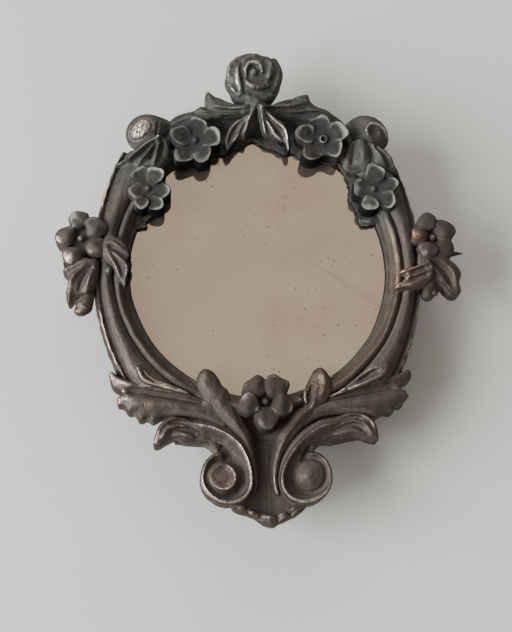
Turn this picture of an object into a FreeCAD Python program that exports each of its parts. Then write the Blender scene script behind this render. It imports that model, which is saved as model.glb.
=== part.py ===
import FreeCAD, Part
import math
import os

os.makedirs("parts", exist_ok=True)

V = FreeCAD.Vector

# Driving dimensions in millimetres. The brooch lies on its back: the origin is the centre of the
# back plate's rear face, +X is right, +Y points to the crest and +Z comes out of the front.

# round mirror and what holds it
OPENING_R = 14.2
MIRROR_R = 15.3
MIRROR_BACK_Z = 1.3
MIRROR_THICK = 1.0
BEZEL_R = 15.55
BEZEL_BACK_Z = 0.2
BEZEL_TAB_DEPTH = 1.6
BEZEL_TAB_WIDTH = 3.0
BEZEL_TABS = 6
CARD_THICK = 0.4
PLATE_THICK = 0.4
DISH_R = 13.0
DISH_DEPTH = 0.5
SEAT_GAP = 0.05

# cast frame
CAST_BACK_Z = 0.5
RIM_R = 16.05
# over the mirror's top the rim's moulding stops and the crest takes its place
CREST_GAP_X = 10.4
CREST_GAP_Y = 11.0
RIM_CREST_R = 15.2
RIM_TOP_Z = 4.0
RIM_LIP_Z = 2.9
GROUND_TOP_Z = 2.8
RAIL_ARC_R = 29.0
RAIL_REACH_X = 18.4
RAIL_LOW_Y = -13.0
RAIL_HIGH_Y = 13.6
RAIL_RIDGE_INSET = 1.8
RAIL_RIDGE_R = 0.75
RAIL_RIDGE_Z = 4.5
RAIL_LIP_WIDTH = 0.6
RAIL_LIP_Z = 3.4
RAIL_GROOVE_Z = 2.4

# five-petalled flowers: centre x, y, base z and height of the petal tops
PETAL_RING_R = 1.55
PETAL_R = 1.05
PETALS = 5
FLOWERS = {
    "crest_flower_left": (-6.8, 14.5, 2.9, 5.3),
    "crest_flower_right": (7.4, 14.5, 2.9, 5.3),
    "shoulder_flower_left": (-12.4, 9.1, 2.9, 5.3),
    "shoulder_flower_right": (12.8, 8.7, 2.9, 5.3),
    "side_flower_left": (-19.4, 3.5, 1.6, 5.0),
    "side_flower_right": (19.5, 3.2, 1.6, 5.0),
    "base_flower": (0.1, -15.3, 3.0, 5.6),
}

# rose at the crest
ROSE_X = 0.1
ROSE_Y = 22.6
ROSE_R = 3.1
ROSE_BACK_Z = 1.0
ROSE_TOP_Z = 5.6

# brooch pin on the rear: stem along X, held by a tube hinge on the left and a catch on the right
PIN_Y = 3.4
PIN_Z = -3.1
PIN_R = 0.45
PIN_STRAIGHT_X = 15.5
PIN_ROOT_R = 0.75
PIN_GROUND_X = 22.8
PIN_GROUND_R = 0.40
PIN_TIP_X = 24.2
PIN_TIP_R = 0.06
HINGE_X = -17.3
KNUCKLE_R = 1.15
KNUCKLE_LONG = 1.5
KNUCKLE_GAP = 0.06
RIVET_R = 0.5
RIVET_CLEARANCE = 0.05
HINGE_FOOT_THICK = 0.5
CATCH_X = 17.4
CATCH_WIDE = 2.0
CATCH_INNER_R = 0.7
CATCH_WALL = 0.4
CATCH_MOUTH = 1.1


def solid_of(shape):
    """The largest solid of a shape."""
    return max(shape.Solids, key=lambda solid: solid.Volume)


def closed_curve(points, z):
    """A smooth closed outline through the points, at height z."""
    curve = Part.BSplineCurve()
    curve.interpolate([V(x, y, z) for x, y in points], PeriodicFlag=True)
    return Part.Wire(curve.toShape())


def slab(points, low, high):
    """A flat piece with a smooth outline."""
    face = Part.Face(closed_curve(points, low))
    return face.extrude(V(0, 0, high - low))


def straight_slab(points, low, high):
    """A flat piece with a straight-sided outline."""
    corners = [V(x, y, low) for x, y in points]
    return Part.Face(Part.makePolygon(corners + corners[:1])).extrude(V(0, 0, high - low))


def mirrored(points):
    """The same outline on the other side of the brooch."""
    return [(-x, y) for x, y in points]


def spun(profile, centre=(0.0, 0.0)):
    """A profile of (radius, z) corners turned about a vertical line."""
    corners = [V(centre[0] + r, centre[1], z) for r, z in profile]
    face = Part.Face(Part.makePolygon(corners + corners[:1]))
    return face.revolve(V(centre[0], centre[1], 0), V(0, 0, 1), 360.0)


def disc(x, y, radius, low, high):
    return Part.makeCylinder(radius, high - low, V(x, y, low))


def vault(start, end, top, radius, tilt=0.0):
    """A long round bar whose top line runs over start and end, dropping tilt degrees on the way."""
    flat = V(end[0] - start[0], end[1] - start[1], 0)
    flat.normalize()
    along = flat * math.cos(math.radians(tilt)) - V(0, 0, math.sin(math.radians(tilt)))
    below = V(start[0], start[1], top - radius / math.cos(math.radians(tilt)))
    reach = 60.0
    return Part.makeCylinder(radius, 2 * reach, below - along * reach, along)


def leaf(points, low, top, spine, bulge, tilt=0.0, veins=()):
    """A leaf: outline rounded over its spine, with a groove for each vein."""
    shape = slab(points, low, top + 2.0).common(vault(spine[0], spine[1], top, bulge, tilt))
    for start, end in veins:
        shape = shape.cut(vein_groove(start, end, spine, top, bulge, tilt))
    return solid_of(shape)


def vein_groove(start, end, spine, top, bulge, tilt):
    """A round groove that follows the leaf's rounded top between two points."""
    depth = 0.12
    wide = 0.32
    ends = []
    for x, y in (start, end):
        ends.append(V(x, y, leaf_height(x, y, spine, top, bulge, tilt) + wide - depth))
    along = ends[1] - ends[0]
    return Part.makeCylinder(wide, along.Length, ends[0], along)


def leaf_height(x, y, spine, top, bulge, tilt):
    """Height of a leaf's rounded top over a point."""
    dx = spine[1][0] - spine[0][0]
    dy = spine[1][1] - spine[0][1]
    long = math.hypot(dx, dy)
    across = ((x - spine[0][0]) * dy - (y - spine[0][1]) * dx) / long
    ahead = ((x - spine[0][0]) * dx + (y - spine[0][1]) * dy) / long
    sag = bulge - math.sqrt(max(bulge ** 2 - across ** 2, 0.0))
    return top - sag - ahead * math.tan(math.radians(tilt))


def tapered_tube(route, radii):
    """A round bar through the points of a route, with its own radius at each."""
    curve = Part.BSplineCurve()
    curve.interpolate([V(*point) for point in route])
    rings = []
    for point, radius in zip(route, radii):
        along = curve.tangent(curve.parameter(V(*point)))[0]
        rings.append(Part.Wire(Part.Circle(V(*point), along, radius).toShape()))
    return Part.makeLoft(rings, True)


# round mirror and what holds it

def make_rim():
    seat_z = MIRROR_BACK_Z + MIRROR_THICK + SEAT_GAP
    profile = [
        (OPENING_R, seat_z), (OPENING_R, RIM_LIP_Z), (OPENING_R + 0.3, RIM_LIP_Z + 0.6),
        (RIM_CREST_R - 0.3, RIM_TOP_Z - 0.1), (RIM_CREST_R, RIM_TOP_Z),
        (RIM_CREST_R + 0.3, RIM_TOP_Z - 0.1), (RIM_R, RIM_TOP_Z - 1.0), (RIM_R, CAST_BACK_Z),
        (BEZEL_R + SEAT_GAP, CAST_BACK_Z), (BEZEL_R + SEAT_GAP, seat_z),
    ]
    return solid_of(spun(profile).cut(crest_gap()))


def crest_gap():
    """Space over the mirror's top edge, kept free of the rim's moulding and of the crest's ground."""
    over_seat = disc(0, 0, BEZEL_R + SEAT_GAP, CAST_BACK_Z, 10)
    return over_seat.common(Part.makeBox(2 * CREST_GAP_X, 20, 10, V(-CREST_GAP_X, CREST_GAP_Y, 0)))


def make_mirror():
    bevel = 0.25
    plate = disc(0, 0, MIRROR_R, MIRROR_BACK_Z, MIRROR_BACK_Z + MIRROR_THICK)
    return plate.makeChamfer(bevel, [edge for edge in plate.Edges
                                     if edge.BoundBox.ZMin > MIRROR_BACK_Z + MIRROR_THICK / 2])


def make_card():
    return disc(0, 0, MIRROR_R - 0.1, MIRROR_BACK_Z - CARD_THICK, MIRROR_BACK_Z)


def make_back_plate():
    outer = MIRROR_R - 0.05
    flange = MIRROR_BACK_Z - CARD_THICK
    low = flange - PLATE_THICK
    profile = [
        (0, low - DISH_DEPTH), (DISH_R, low - DISH_DEPTH), (DISH_R + 0.5, low),
        (outer, low), (outer, flange), (DISH_R, flange),
        (DISH_R - 0.5, flange - DISH_DEPTH), (0, flange - DISH_DEPTH),
    ]
    return spun(profile)


def make_bezel():
    """The strip round the mirror, with tabs that are folded in over the back plate's flange."""
    top = MIRROR_BACK_Z + MIRROR_THICK
    strip = disc(0, 0, BEZEL_R, BEZEL_BACK_Z, top).cut(disc(0, 0, MIRROR_R, BEZEL_BACK_Z, top))
    tab_top = MIRROR_BACK_Z - CARD_THICK - PLATE_THICK
    strip = strip.cut(spun([(MIRROR_R - 1, BEZEL_BACK_Z), (BEZEL_R + 1, BEZEL_BACK_Z),
                            (BEZEL_R + 1, tab_top), (MIRROR_R - 1, tab_top)]))
    ring = disc(0, 0, BEZEL_R, BEZEL_BACK_Z, tab_top)
    ring = ring.cut(disc(0, 0, BEZEL_R - BEZEL_TAB_DEPTH + 0.2, BEZEL_BACK_Z, tab_top))
    tabs = []
    for count in range(BEZEL_TABS):
        arm = Part.makeBox(BEZEL_R + 1, BEZEL_TAB_WIDTH, tab_top - BEZEL_BACK_Z,
                           V(0, -BEZEL_TAB_WIDTH / 2, BEZEL_BACK_Z))
        arm.rotate(V(0, 0, 0), V(0, 0, 1), 30.0 + count * 360.0 / BEZEL_TABS)
        tabs.append(ring.common(arm))
    return strip.fuse(tabs).removeSplitter()


# cast frame

def make_side_rail(side):
    """Crescent of three mouldings, from the outer lip in to the rim."""
    ridge = RAIL_ARC_R - RAIL_RIDGE_INSET
    lip = RAIL_ARC_R - RAIL_LIP_WIDTH
    foot = RAIL_RIDGE_Z - RAIL_RIDGE_R
    profile = [
        (RAIL_ARC_R, CAST_BACK_Z), (RAIL_ARC_R, RAIL_LIP_Z - 0.3), (RAIL_ARC_R - 0.2, RAIL_LIP_Z),
        (lip + 0.1, RAIL_LIP_Z), (lip, RAIL_LIP_Z - 0.2), (lip - 0.2, RAIL_GROOVE_Z),
        (ridge + RAIL_RIDGE_R, RAIL_GROOVE_Z + 0.2), (ridge + RAIL_RIDGE_R, foot),
    ]
    for step in range(1, 6):
        turn = math.radians(step * 30.0)
        profile.append((ridge + RAIL_RIDGE_R * math.cos(turn), foot + RAIL_RIDGE_R * math.sin(turn)))
    profile += [
        (ridge - RAIL_RIDGE_R, foot), (ridge - RAIL_RIDGE_R - 0.2, RAIL_GROOVE_Z + 0.3),
        (ridge - 6.0, RAIL_GROOVE_Z + 0.3), (ridge - 6.0, CAST_BACK_Z),
    ]
    centre_x = RAIL_REACH_X - RAIL_ARC_R
    rail = spun(profile, (centre_x, 0.8))
    window = Part.makeBox(20, RAIL_HIGH_Y - RAIL_LOW_Y, 10, V(4, RAIL_LOW_Y, 0))
    rail = solid_of(rail.common(window).cut(disc(0, 0, RIM_R, 0, 10)))
    if side < 0:
        rail = rail.mirror(V(0, 0, 0), V(1, 0, 0))
    return rail


def make_crest_band():
    """Ground behind the crest, hollowed like a shallow cove."""
    half = [(0.0, 19.4), (2.2, 19.2), (4.5, 18.9), (7.4, 18.6), (9.4, 17.8), (11.6, 15.6)]
    low = [(10.4, 11.6), (0.0, 12.0)]
    outline = half + low[:1] + mirrored(low[:1]) + mirrored(half[:0:-1])
    ground = straight_slab(outline, CAST_BACK_Z, RIM_TOP_Z)
    cove_r = 4.2
    cove_ring_r = 18.6
    cove = Part.makeTorus(cove_ring_r, cove_r, V(0, -1.2, GROUND_TOP_Z + cove_r - 0.9))
    neck = disc(ROSE_X, ROSE_Y - 2.4, 1.9, CAST_BACK_Z, GROUND_TOP_Z)
    return ground.cut(cove).fuse(neck).cut(crest_gap())


def make_shoulder_volute(side):
    """Rolled scroll: a fat tapering roll with a raised eye on its outer end."""
    route = [(9.6, 15.4, 2.6), (10.9, 16.6, 3.0), (12.4, 16.8, 3.2), (13.6, 15.6, 3.2)]
    radii = [1.2, 1.8, 2.0, 1.7]
    roll = tapered_tube([(side * x, y, z) for x, y, z in route], radii)
    eye = Part.makeCylinder(1.0, 1.6, V(side * 13.3, 15.7, 3.6), V(side * 0.35, -0.25, 0.9))
    core = Part.makeSphere(1.75, V(side * 13.4, 15.6, 3.2))
    roll = roll.fuse([eye, core])
    return solid_of(roll.cut(Part.makeBox(60, 60, 5, V(-30, -30, CAST_BACK_Z - 5))))


def make_shoulder_leaf(side):
    """Leaf sheath from which the shoulder's roll grows."""
    outline = [(10.0, 14.4), (11.6, 15.4), (13.8, 14.6), (15.2, 12.9), (15.9, 11.2), (14.2, 11.7),
               (12.6, 11.6), (10.8, 11.6), (9.6, 12.9)]
    points = [(side * x, y) for x, y in outline]
    spine = ((side * 11.6, 15.2), (side * 14.0, 11.6))
    veins = [((side * 11.4, 14.6), (side * 12.4, 11.9)), ((side * 12.6, 14.4), (side * 14.4, 12.2))]
    return leaf(points, CAST_BACK_Z, 5.0, spine, 2.9, 6.0, veins)


def make_flower(x, y, low, high):
    """Five cupped petals round a bead."""
    petals = []
    for count in range(PETALS):
        turn = math.radians(90.0 + count * 360.0 / PETALS)
        px = x + PETAL_RING_R * math.cos(turn)
        py = y + PETAL_RING_R * math.sin(turn)
        petal = Part.makeSphere(PETAL_R, V(px, py, high - PETAL_R))
        petal = petal.fuse(disc(px, py, PETAL_R * 0.8, low, high - PETAL_R))
        petals.append(petal.cut(Part.makeSphere(PETAL_R * 0.8, V(px, py, high + 0.25))))
    core = disc(x, y, PETAL_RING_R, low, high - 1.0)
    bead = Part.makeSphere(0.62, V(x, y, high - 0.75))
    return solid_of(core.fuse(petals + [bead]))


def make_rose():
    """Rose of three turns of lobed petals round a bud."""
    depth = ROSE_TOP_Z - ROSE_BACK_Z
    body = disc(ROSE_X, ROSE_Y, ROSE_R - 0.4, ROSE_BACK_Z, ROSE_BACK_Z + depth * 0.6)
    turns = [(5, ROSE_R - 1.15, 1.25, 0.30, 20.0), (4, ROSE_R - 1.9, 1.0, 0.10, 50.0)]
    parts = []
    for count, ring_r, lobe_r, drop, start in turns:
        for step in range(count):
            turn = math.radians(start + step * 360.0 / count)
            px = ROSE_X + ring_r * math.cos(turn)
            py = ROSE_Y + ring_r * math.sin(turn)
            lobe = Part.makeSphere(lobe_r, V(px, py, ROSE_TOP_Z - lobe_r - drop))
            hollow = Part.makeSphere(lobe_r * 0.75, V(
                ROSE_X + 0.8 * (px - ROSE_X), ROSE_Y + 0.8 * (py - ROSE_Y), ROSE_TOP_Z + 0.15))
            parts.append(lobe.cut(hollow))
            parts.append(disc(px, py, lobe_r * 0.8, ROSE_BACK_Z + 0.6, ROSE_TOP_Z - lobe_r - drop))
    parts.append(Part.makeSphere(0.75, V(ROSE_X, ROSE_Y, ROSE_TOP_Z - 0.75)))
    return solid_of(body.fuse(parts))


def make_crest_leaf(side):
    """Leaf sweeping from the rose to the shoulder, with a turned-up tip on its upper edge."""
    outline = [(0.8, 19.2), (2.6, 19.5), (4.3, 20.2), (6.3, 20.8), (6.7, 19.7), (8.3, 19.2),
               (9.7, 18.0), (9.0, 16.9), (6.0, 17.2), (3.0, 17.4), (0.6, 17.8)]
    points = [(side * x, y) for x, y in outline]
    veins = [((side * 2.0, 18.9), (side * 5.4, 19.3)), ((side * 3.0, 18.1), (side * 8.0, 18.2))]
    return leaf(points, GROUND_TOP_Z - 1.2, 4.6, ((side * 1.0, 18.4), (side * 9.0, 18.4)), 2.6, 5.0, veins)


def make_pendant_leaf(side):
    """Pointed leaf hanging from the crest over the mirror's edge."""
    outline = [(0.35, 18.9), (1.3, 17.9), (3.2, 16.5), (3.8, 15.0), (3.7, 13.3), (2.7, 14.2),
               (1.6, 14.9), (0.7, 15.9)]
    points = [(side * x, y) for x, y in outline]
    veins = [((side * 0.9, 17.6), (side * 3.0, 14.9)), ((side * 0.8, 17.2), (side * 1.8, 15.5))]
    return leaf(points, GROUND_TOP_Z + 0.6, 5.6, ((side * 0.4, 18.6), (side * 3.0, 14.0)), 1.7, 4.0, veins)


def make_side_leaf(side):
    """Outer leaf of the side spray."""
    outline = [(17.7, 1.6), (19.6, 1.2), (21.4, 0.6), (22.2, -0.7), (22.0, -2.6), (21.2, -3.3),
               (20.0, -2.2), (18.6, -2.4), (17.8, -1.4)]
    points = [(side * x, y) for x, y in outline]
    if side < 0:
        points = [(x + 0.9, y - 0.2) for x, y in points]
    root, tip = points[0], points[5]
    veins = [((root[0] + side * 0.8, root[1] - 1.2), (tip[0], tip[1] + 1.0))]
    return leaf(points, 1.0, 4.2, (root, tip), 2.3, 6.0, veins)


def make_rail_leaf(side):
    """Inner leaf of the side spray, lying across the side mouldings."""
    outline = [(18.2, 0.6), (17.0, -0.2), (15.6, -0.9), (14.9, -2.4), (16.0, -2.8), (17.4, -2.6),
               (18.6, -1.6)]
    points = [(side * x, y) for x, y in outline]
    if side < 0:
        points = [(x + 0.6, 0.2 - y) for x, y in points]
    spine = (points[0], points[3])
    return leaf(points, GROUND_TOP_Z - 0.4, 5.2, spine, 1.5, 4.0)


def make_side_bud(side):
    """Round bud under the side spray."""
    x = side * 19.1
    y = -4.0 if side < 0 else -3.3
    return Part.makeSphere(0.95, V(x, y, 3.1)).fuse(disc(x, y + 1.1, 0.7, 1.4, 3.2))


def make_base_volute(side):
    """C-scroll: a band that coils round a boss and ends in a curled leaf."""
    route = [(10.6, -17.6, 2.6), (7.8, -17.7, 3.0), (5.0, -18.6, 3.2), (2.9, -20.6, 3.3),
             (2.3, -23.0, 3.4), (3.0, -24.9, 3.4), (4.8, -25.6, 3.3), (6.4, -24.5, 3.1), (6.7, -22.8, 2.9)]
    radii = [1.1, 1.25, 1.15, 1.05, 1.0, 1.0, 0.95, 0.85, 0.7]
    band = tapered_tube([(side * x, y, z) for x, y, z in route], radii)
    boss_x, boss_y = side * 4.8, -22.9
    web = disc(boss_x, boss_y, 2.5, CAST_BACK_Z, 2.9)
    boss = Part.makeCone(1.5, 1.1, 3.2, V(boss_x, boss_y, 2.0))
    dome = Part.makeSphere(2.0, V(boss_x, boss_y, 3.55))
    dome = dome.common(disc(boss_x, boss_y, 1.25, 4.0, 6.0))
    tip = [(10.2, -16.4), (11.6, -16.9), (12.3, -18.0), (12.2, -19.2), (10.8, -18.9), (9.4, -18.6),
           (7.6, -19.0), (5.6, -20.0), (6.6, -17.6)]
    root_leaf = leaf([(side * x, y) for x, y in tip], CAST_BACK_Z, 4.0,
                     ((side * 6.0, -18.2), (side * 12.0, -17.8)), 2.2, 3.0)
    scroll = band.fuse([web, boss, dome, root_leaf])
    return solid_of(scroll.cut(Part.makeBox(60, 60, 5, V(-30, -50, CAST_BACK_Z - 5))))


def make_base_acanthus(side):
    """Broad leaf sweeping out to the lower corner, with a toothed end."""
    outline = [(4.2, -14.9), (8.4, -13.6), (12.0, -12.7), (16.4, -11.4), (15.7, -13.2), (15.8, -14.6),
               (14.6, -15.7), (12.8, -16.8), (10.0, -16.1), (7.0, -16.4), (4.4, -17.2)]
    points = [(side * x, y) for x, y in outline]
    veins = [((side * 7.0, -15.2), (side * 14.6, -13.0)), ((side * 7.2, -15.7), (side * 14.4, -14.6)),
             ((side * 7.2, -16.0), (side * 12.6, -15.8))]
    return leaf(points, CAST_BACK_Z, 4.5, ((side * 4.2, -15.6), (side * 15.4, -14.2)), 3.4, 4.0, veins)


def make_corner_leaf(side):
    """Small raised leaf lying along the top of the acanthus."""
    outline = [(7.7, -14.4), (9.4, -13.3), (11.4, -12.2), (13.6, -11.3), (12.9, -12.8), (10.8, -13.9)]
    points = [(side * x, y) for x, y in outline]
    return leaf(points, CAST_BACK_Z + 1.0, 4.9, ((side * 7.7, -14.2), (side * 13.4, -11.8)), 1.2, 6.0)


def make_upright_leaf(side):
    """Leaf whose stem rises from the foot and whose tip stands over the mirror's lower edge."""
    outline = [(6.4, -11.4), (7.3, -12.4), (7.2, -14.0), (6.1, -15.6), (4.2, -18.0), (2.1, -20.8),
               (1.2, -23.0), (0.7, -22.0), (1.4, -19.0), (2.9, -16.4), (4.0, -14.6), (4.8, -12.9)]
    points = [(side * x, y) for x, y in outline]
    veins = [((side * 3.4, -16.8), (side * 6.3, -12.6))]
    return leaf(points, GROUND_TOP_Z - 1.0, 4.7, ((side * 1.2, -22.4), (side * 6.4, -12.0)), 1.7, -3.0, veins)


def make_base_stem():
    """Fluted ground between the two scrolls."""
    half = [(5.0, -14.6), (4.6, -17.0), (2.4, -20.4), (2.2, -24.6), (2.9, -26.2)]
    stem = straight_slab(half + mirrored(half[::-1]), CAST_BACK_Z, 3.4)
    for x in (-0.9, 0.0, 0.9):
        stem = stem.cut(Part.makeCylinder(0.42, 16.0, V(x, -29.0, 3.4), V(-x * 0.02, 1, 0)))
    return stem


def make_base_shell():
    """Ruffled shell under the stem."""
    outline = [(-3.4, -26.0), (-2.5, -26.9), (-1.5, -27.2), (-0.4, -27.9), (0.8, -28.1), (2.0, -27.6),
               (3.2, -27.2), (4.0, -26.3), (2.2, -24.6), (-1.8, -24.6)]
    veins = [((x * 0.5, -25.0), (x, -27.4)) for x in (-1.6, -0.4, 1.0, 2.2)]
    return leaf(outline, CAST_BACK_Z, 3.3, ((-5.0, -25.4), (5.0, -25.4)), 3.0, 0.0, veins)


# brooch fittings on the rear

def make_hinge_base():
    """Foot soldered to the castings, with the two outer knuckles of the tube hinge."""
    foot = Part.makeBox(3.4, 6.4, HINGE_FOOT_THICK,
                        V(HINGE_X - 1.7, PIN_Y - 3.2, CAST_BACK_Z - HINGE_FOOT_THICK))
    gap = KNUCKLE_LONG / 2 + KNUCKLE_GAP
    parts = []
    for side in (-1, 1):
        start = PIN_Y + side * gap if side > 0 else PIN_Y - gap - KNUCKLE_LONG
        parts.append(Part.makeCylinder(KNUCKLE_R, KNUCKLE_LONG, V(HINGE_X, start, PIN_Z), V(0, 1, 0)))
        parts.append(Part.makeBox(2 * KNUCKLE_R, KNUCKLE_LONG, CAST_BACK_Z - 0.2 - PIN_Z,
                                  V(HINGE_X - KNUCKLE_R, start, PIN_Z)))
    rivet_hole = Part.makeCylinder(RIVET_R, 10.0, V(HINGE_X, PIN_Y - 5.0, PIN_Z), V(0, 1, 0))
    return foot.fuse(parts).cut(rivet_hole).removeSplitter()


def make_hinge_rivet():
    """Rivet through the three knuckles, with a domed head at each end."""
    reach = KNUCKLE_LONG * 1.5 + KNUCKLE_GAP
    head = 0.3
    rivet = Part.makeCylinder(RIVET_R, 2 * reach, V(HINGE_X, PIN_Y - reach, PIN_Z), V(0, 1, 0))
    heads = [
        Part.makeCone(RIVET_R + 0.25, RIVET_R - 0.05, head, V(HINGE_X, PIN_Y + reach, PIN_Z), V(0, 1, 0)),
        Part.makeCone(RIVET_R + 0.25, RIVET_R - 0.05, head, V(HINGE_X, PIN_Y - reach, PIN_Z), V(0, -1, 0)),
    ]
    return rivet.fuse(heads).removeSplitter()


def make_pin_stem():
    """Pin with the hinge's middle knuckle and a thick root at one end and a ground point at the other."""
    along = V(1, 0, 0)
    half = KNUCKLE_LONG / 2
    knuckle = Part.makeCylinder(KNUCKLE_R, KNUCKLE_LONG, V(HINGE_X, PIN_Y - half, PIN_Z), V(0, 1, 0))
    root = Part.makeCone(PIN_ROOT_R, PIN_R, -PIN_STRAIGHT_X - HINGE_X, V(HINGE_X, PIN_Y, PIN_Z), along)
    shaft = Part.makeCylinder(PIN_R, 2 * PIN_STRAIGHT_X, V(-PIN_STRAIGHT_X, PIN_Y, PIN_Z), along)
    taper = Part.makeCone(PIN_R, PIN_GROUND_R, PIN_GROUND_X - PIN_STRAIGHT_X,
                          V(PIN_STRAIGHT_X, PIN_Y, PIN_Z), along)
    point = Part.makeCone(PIN_GROUND_R, PIN_TIP_R, PIN_TIP_X - PIN_GROUND_X,
                          V(PIN_GROUND_X, PIN_Y, PIN_Z), along)
    bore = Part.makeCylinder(RIVET_R + RIVET_CLEARANCE, 2 * KNUCKLE_LONG,
                             V(HINGE_X, PIN_Y - KNUCKLE_LONG, PIN_Z), V(0, 1, 0))
    return knuckle.fuse([root, shaft, taper, point]).removeSplitter().cut(bore)


def make_catch():
    """Catch with its mouth open to the rear, on a post and a soldered foot."""
    outer = CATCH_INNER_R + CATCH_WALL
    low_x = CATCH_X - CATCH_WIDE / 2
    hook = Part.makeCylinder(outer, CATCH_WIDE, V(low_x, PIN_Y, PIN_Z), V(1, 0, 0))
    post = Part.makeBox(CATCH_WIDE, 2 * outer * 0.7, CAST_BACK_Z - 0.2 - PIN_Z,
                        V(low_x, PIN_Y - outer * 0.7, PIN_Z))
    foot = Part.makeBox(CATCH_WIDE + 1.0, 4.6, HINGE_FOOT_THICK,
                        V(low_x - 0.5, PIN_Y - 2.3, CAST_BACK_Z - HINGE_FOOT_THICK))
    hollow = Part.makeCylinder(CATCH_INNER_R, CATCH_WIDE + 2, V(low_x - 1, PIN_Y, PIN_Z), V(1, 0, 0))
    mouth = Part.makeBox(CATCH_WIDE + 2, CATCH_MOUTH, outer + 1,
                         V(low_x - 1, PIN_Y - CATCH_MOUTH / 2, PIN_Z - outer - 1))
    return hook.fuse([post, foot]).cut(hollow).cut(mouth).removeSplitter()


def carved_parts():
    """Castings in order: each one is cut back where an earlier one already is."""
    order = [("rim", make_rim())]
    for name, side in (("left", -1), ("right", 1)):
        order.append(("side_rail_" + name, make_side_rail(side)))
        order.append(("shoulder_volute_" + name, make_shoulder_volute(side)))
        order.append(("base_volute_" + name, make_base_volute(side)))
    for name, place in FLOWERS.items():
        order.append((name, make_flower(*place)))
    order.append(("crest_rose", make_rose()))
    makers = [
        ("base_upright_leaf_", make_upright_leaf), ("pendant_leaf_", make_pendant_leaf),
        ("crest_leaf_", make_crest_leaf), ("shoulder_leaf_", make_shoulder_leaf),
        ("corner_leaf_", make_corner_leaf), ("base_acanthus_", make_base_acanthus),
        ("rail_leaf_", make_rail_leaf), ("side_leaf_", make_side_leaf), ("side_bud_", make_side_bud),
    ]
    for stem, maker in makers:
        for name, side in (("left", -1), ("right", 1)):
            order.append((stem + name, maker(side)))
    order.append(("base_stem", make_base_stem()))
    order.append(("base_shell", make_base_shell()))
    order.append(("crest_band", make_crest_band()))
    return order


def keep_apart(order):
    """Cut each casting by every earlier one that it meets, and by the round seat of the mirror."""
    seat = disc(0, 0, BEZEL_R + SEAT_GAP, -1.0, MIRROR_BACK_Z + MIRROR_THICK + SEAT_GAP)
    done = {}
    for name, shape in order:
        if name != "rim":
            shape = shape.cut(seat)
        near = [other for other in done.values() if other.BoundBox.intersect(shape.BoundBox)]
        if near:
            shape = shape.cut(near)
        done[name] = solid_of(shape)
    return done


def all_parts():
    parts = keep_apart(carved_parts())
    parts["mirror_plate"] = make_mirror()
    parts["backing_card"] = make_card()
    parts["back_plate"] = make_back_plate()
    parts["tabbed_bezel"] = make_bezel()
    parts["hinge_base"] = make_hinge_base()
    parts["hinge_rivet"] = make_hinge_rivet()
    parts["pin_stem"] = make_pin_stem()
    parts["catch"] = make_catch()
    return parts


for node, shape in all_parts().items():
    shape.exportStep("parts/" + node + ".step")
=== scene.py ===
import math

import bpy
import numpy as np
import openvdb
from mathutils import Matrix, Vector


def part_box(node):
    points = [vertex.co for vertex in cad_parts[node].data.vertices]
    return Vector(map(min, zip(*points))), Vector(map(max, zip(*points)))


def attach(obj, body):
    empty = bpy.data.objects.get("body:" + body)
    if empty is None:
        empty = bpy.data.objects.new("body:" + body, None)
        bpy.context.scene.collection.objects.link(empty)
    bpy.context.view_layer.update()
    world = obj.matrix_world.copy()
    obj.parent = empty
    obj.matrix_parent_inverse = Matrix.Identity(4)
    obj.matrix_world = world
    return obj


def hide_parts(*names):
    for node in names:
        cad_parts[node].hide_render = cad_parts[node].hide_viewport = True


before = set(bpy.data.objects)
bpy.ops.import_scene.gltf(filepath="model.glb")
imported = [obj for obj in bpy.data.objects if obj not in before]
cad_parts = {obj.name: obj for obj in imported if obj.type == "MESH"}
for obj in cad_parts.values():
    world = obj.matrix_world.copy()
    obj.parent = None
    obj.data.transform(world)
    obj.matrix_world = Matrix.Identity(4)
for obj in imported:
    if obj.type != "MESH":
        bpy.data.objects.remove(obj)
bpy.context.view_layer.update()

# Everything is sculpted in millimetres in the brooch's own frame and turned into metres at the end.
MM = 0.001
VOXEL = 0.085
CAST_BACK_Z = 0.5
MIRROR_TOP_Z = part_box("mirror_plate")[1].z / MM
OPENING_R = 14.2
RIM_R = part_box("rim")[1].x / MM
RAIL_REACH_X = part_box("side_rail_right")[1].x / MM
RAIL_ARC_R = 29.0
RAIL_LOW_Y = -13.3
RAIL_HIGH_Y = 13.9
SEAT_R = 15.6
# over the mirror's top the rim's moulding stops and the crest takes its place
CREST_GAP_X = 12.2
CREST_GAP_Y = 9.9
NAMES = {-1: "left", 1: "right"}


# curves ---------------------------------------------------------------------------------------

def smooth(points, closed=False, steps=8):
    """A rounded path through given points, of any number of values each."""
    p = np.array(points, float)
    if closed:
        p = np.vstack([p[-1:], p, p[:2]])
    else:
        p = np.vstack([2 * p[:1] - p[1:2], p, 2 * p[-1:] - p[-2:-1]])
    rows = []
    for a, b, c, d in zip(p[:-3], p[1:-2], p[2:-1], p[3:]):
        for t in np.arange(steps) / steps:
            rows.append(0.5 * (2 * b + (c - a) * t + (2 * a - 5 * b + 4 * c - d) * t ** 2
                               + (3 * b - a - 3 * c + d) * t ** 3))
    if not closed:
        rows.append(p[-2])
    return np.array(rows)


def bump(distance, width):
    """A rounded ridge of height 1 whose flanks reach zero at about twice the width."""
    return np.exp(-(distance / width) ** 2)


def dome(depth, width):
    """Rises from 0 at an edge to 1 at the width inside it, like a quarter circle."""
    return np.sqrt(np.clip(1 - (1 - np.clip(depth / width, 0, 1)) ** 2, 0, 1))


def mix(a, b, share):
    return a + (b - a) * share


def ease(value, low, high):
    """0 below low, 1 above high, smooth between."""
    t = np.clip((value - low) / (high - low), 0, 1)
    return t * t * (3 - 2 * t)


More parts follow.
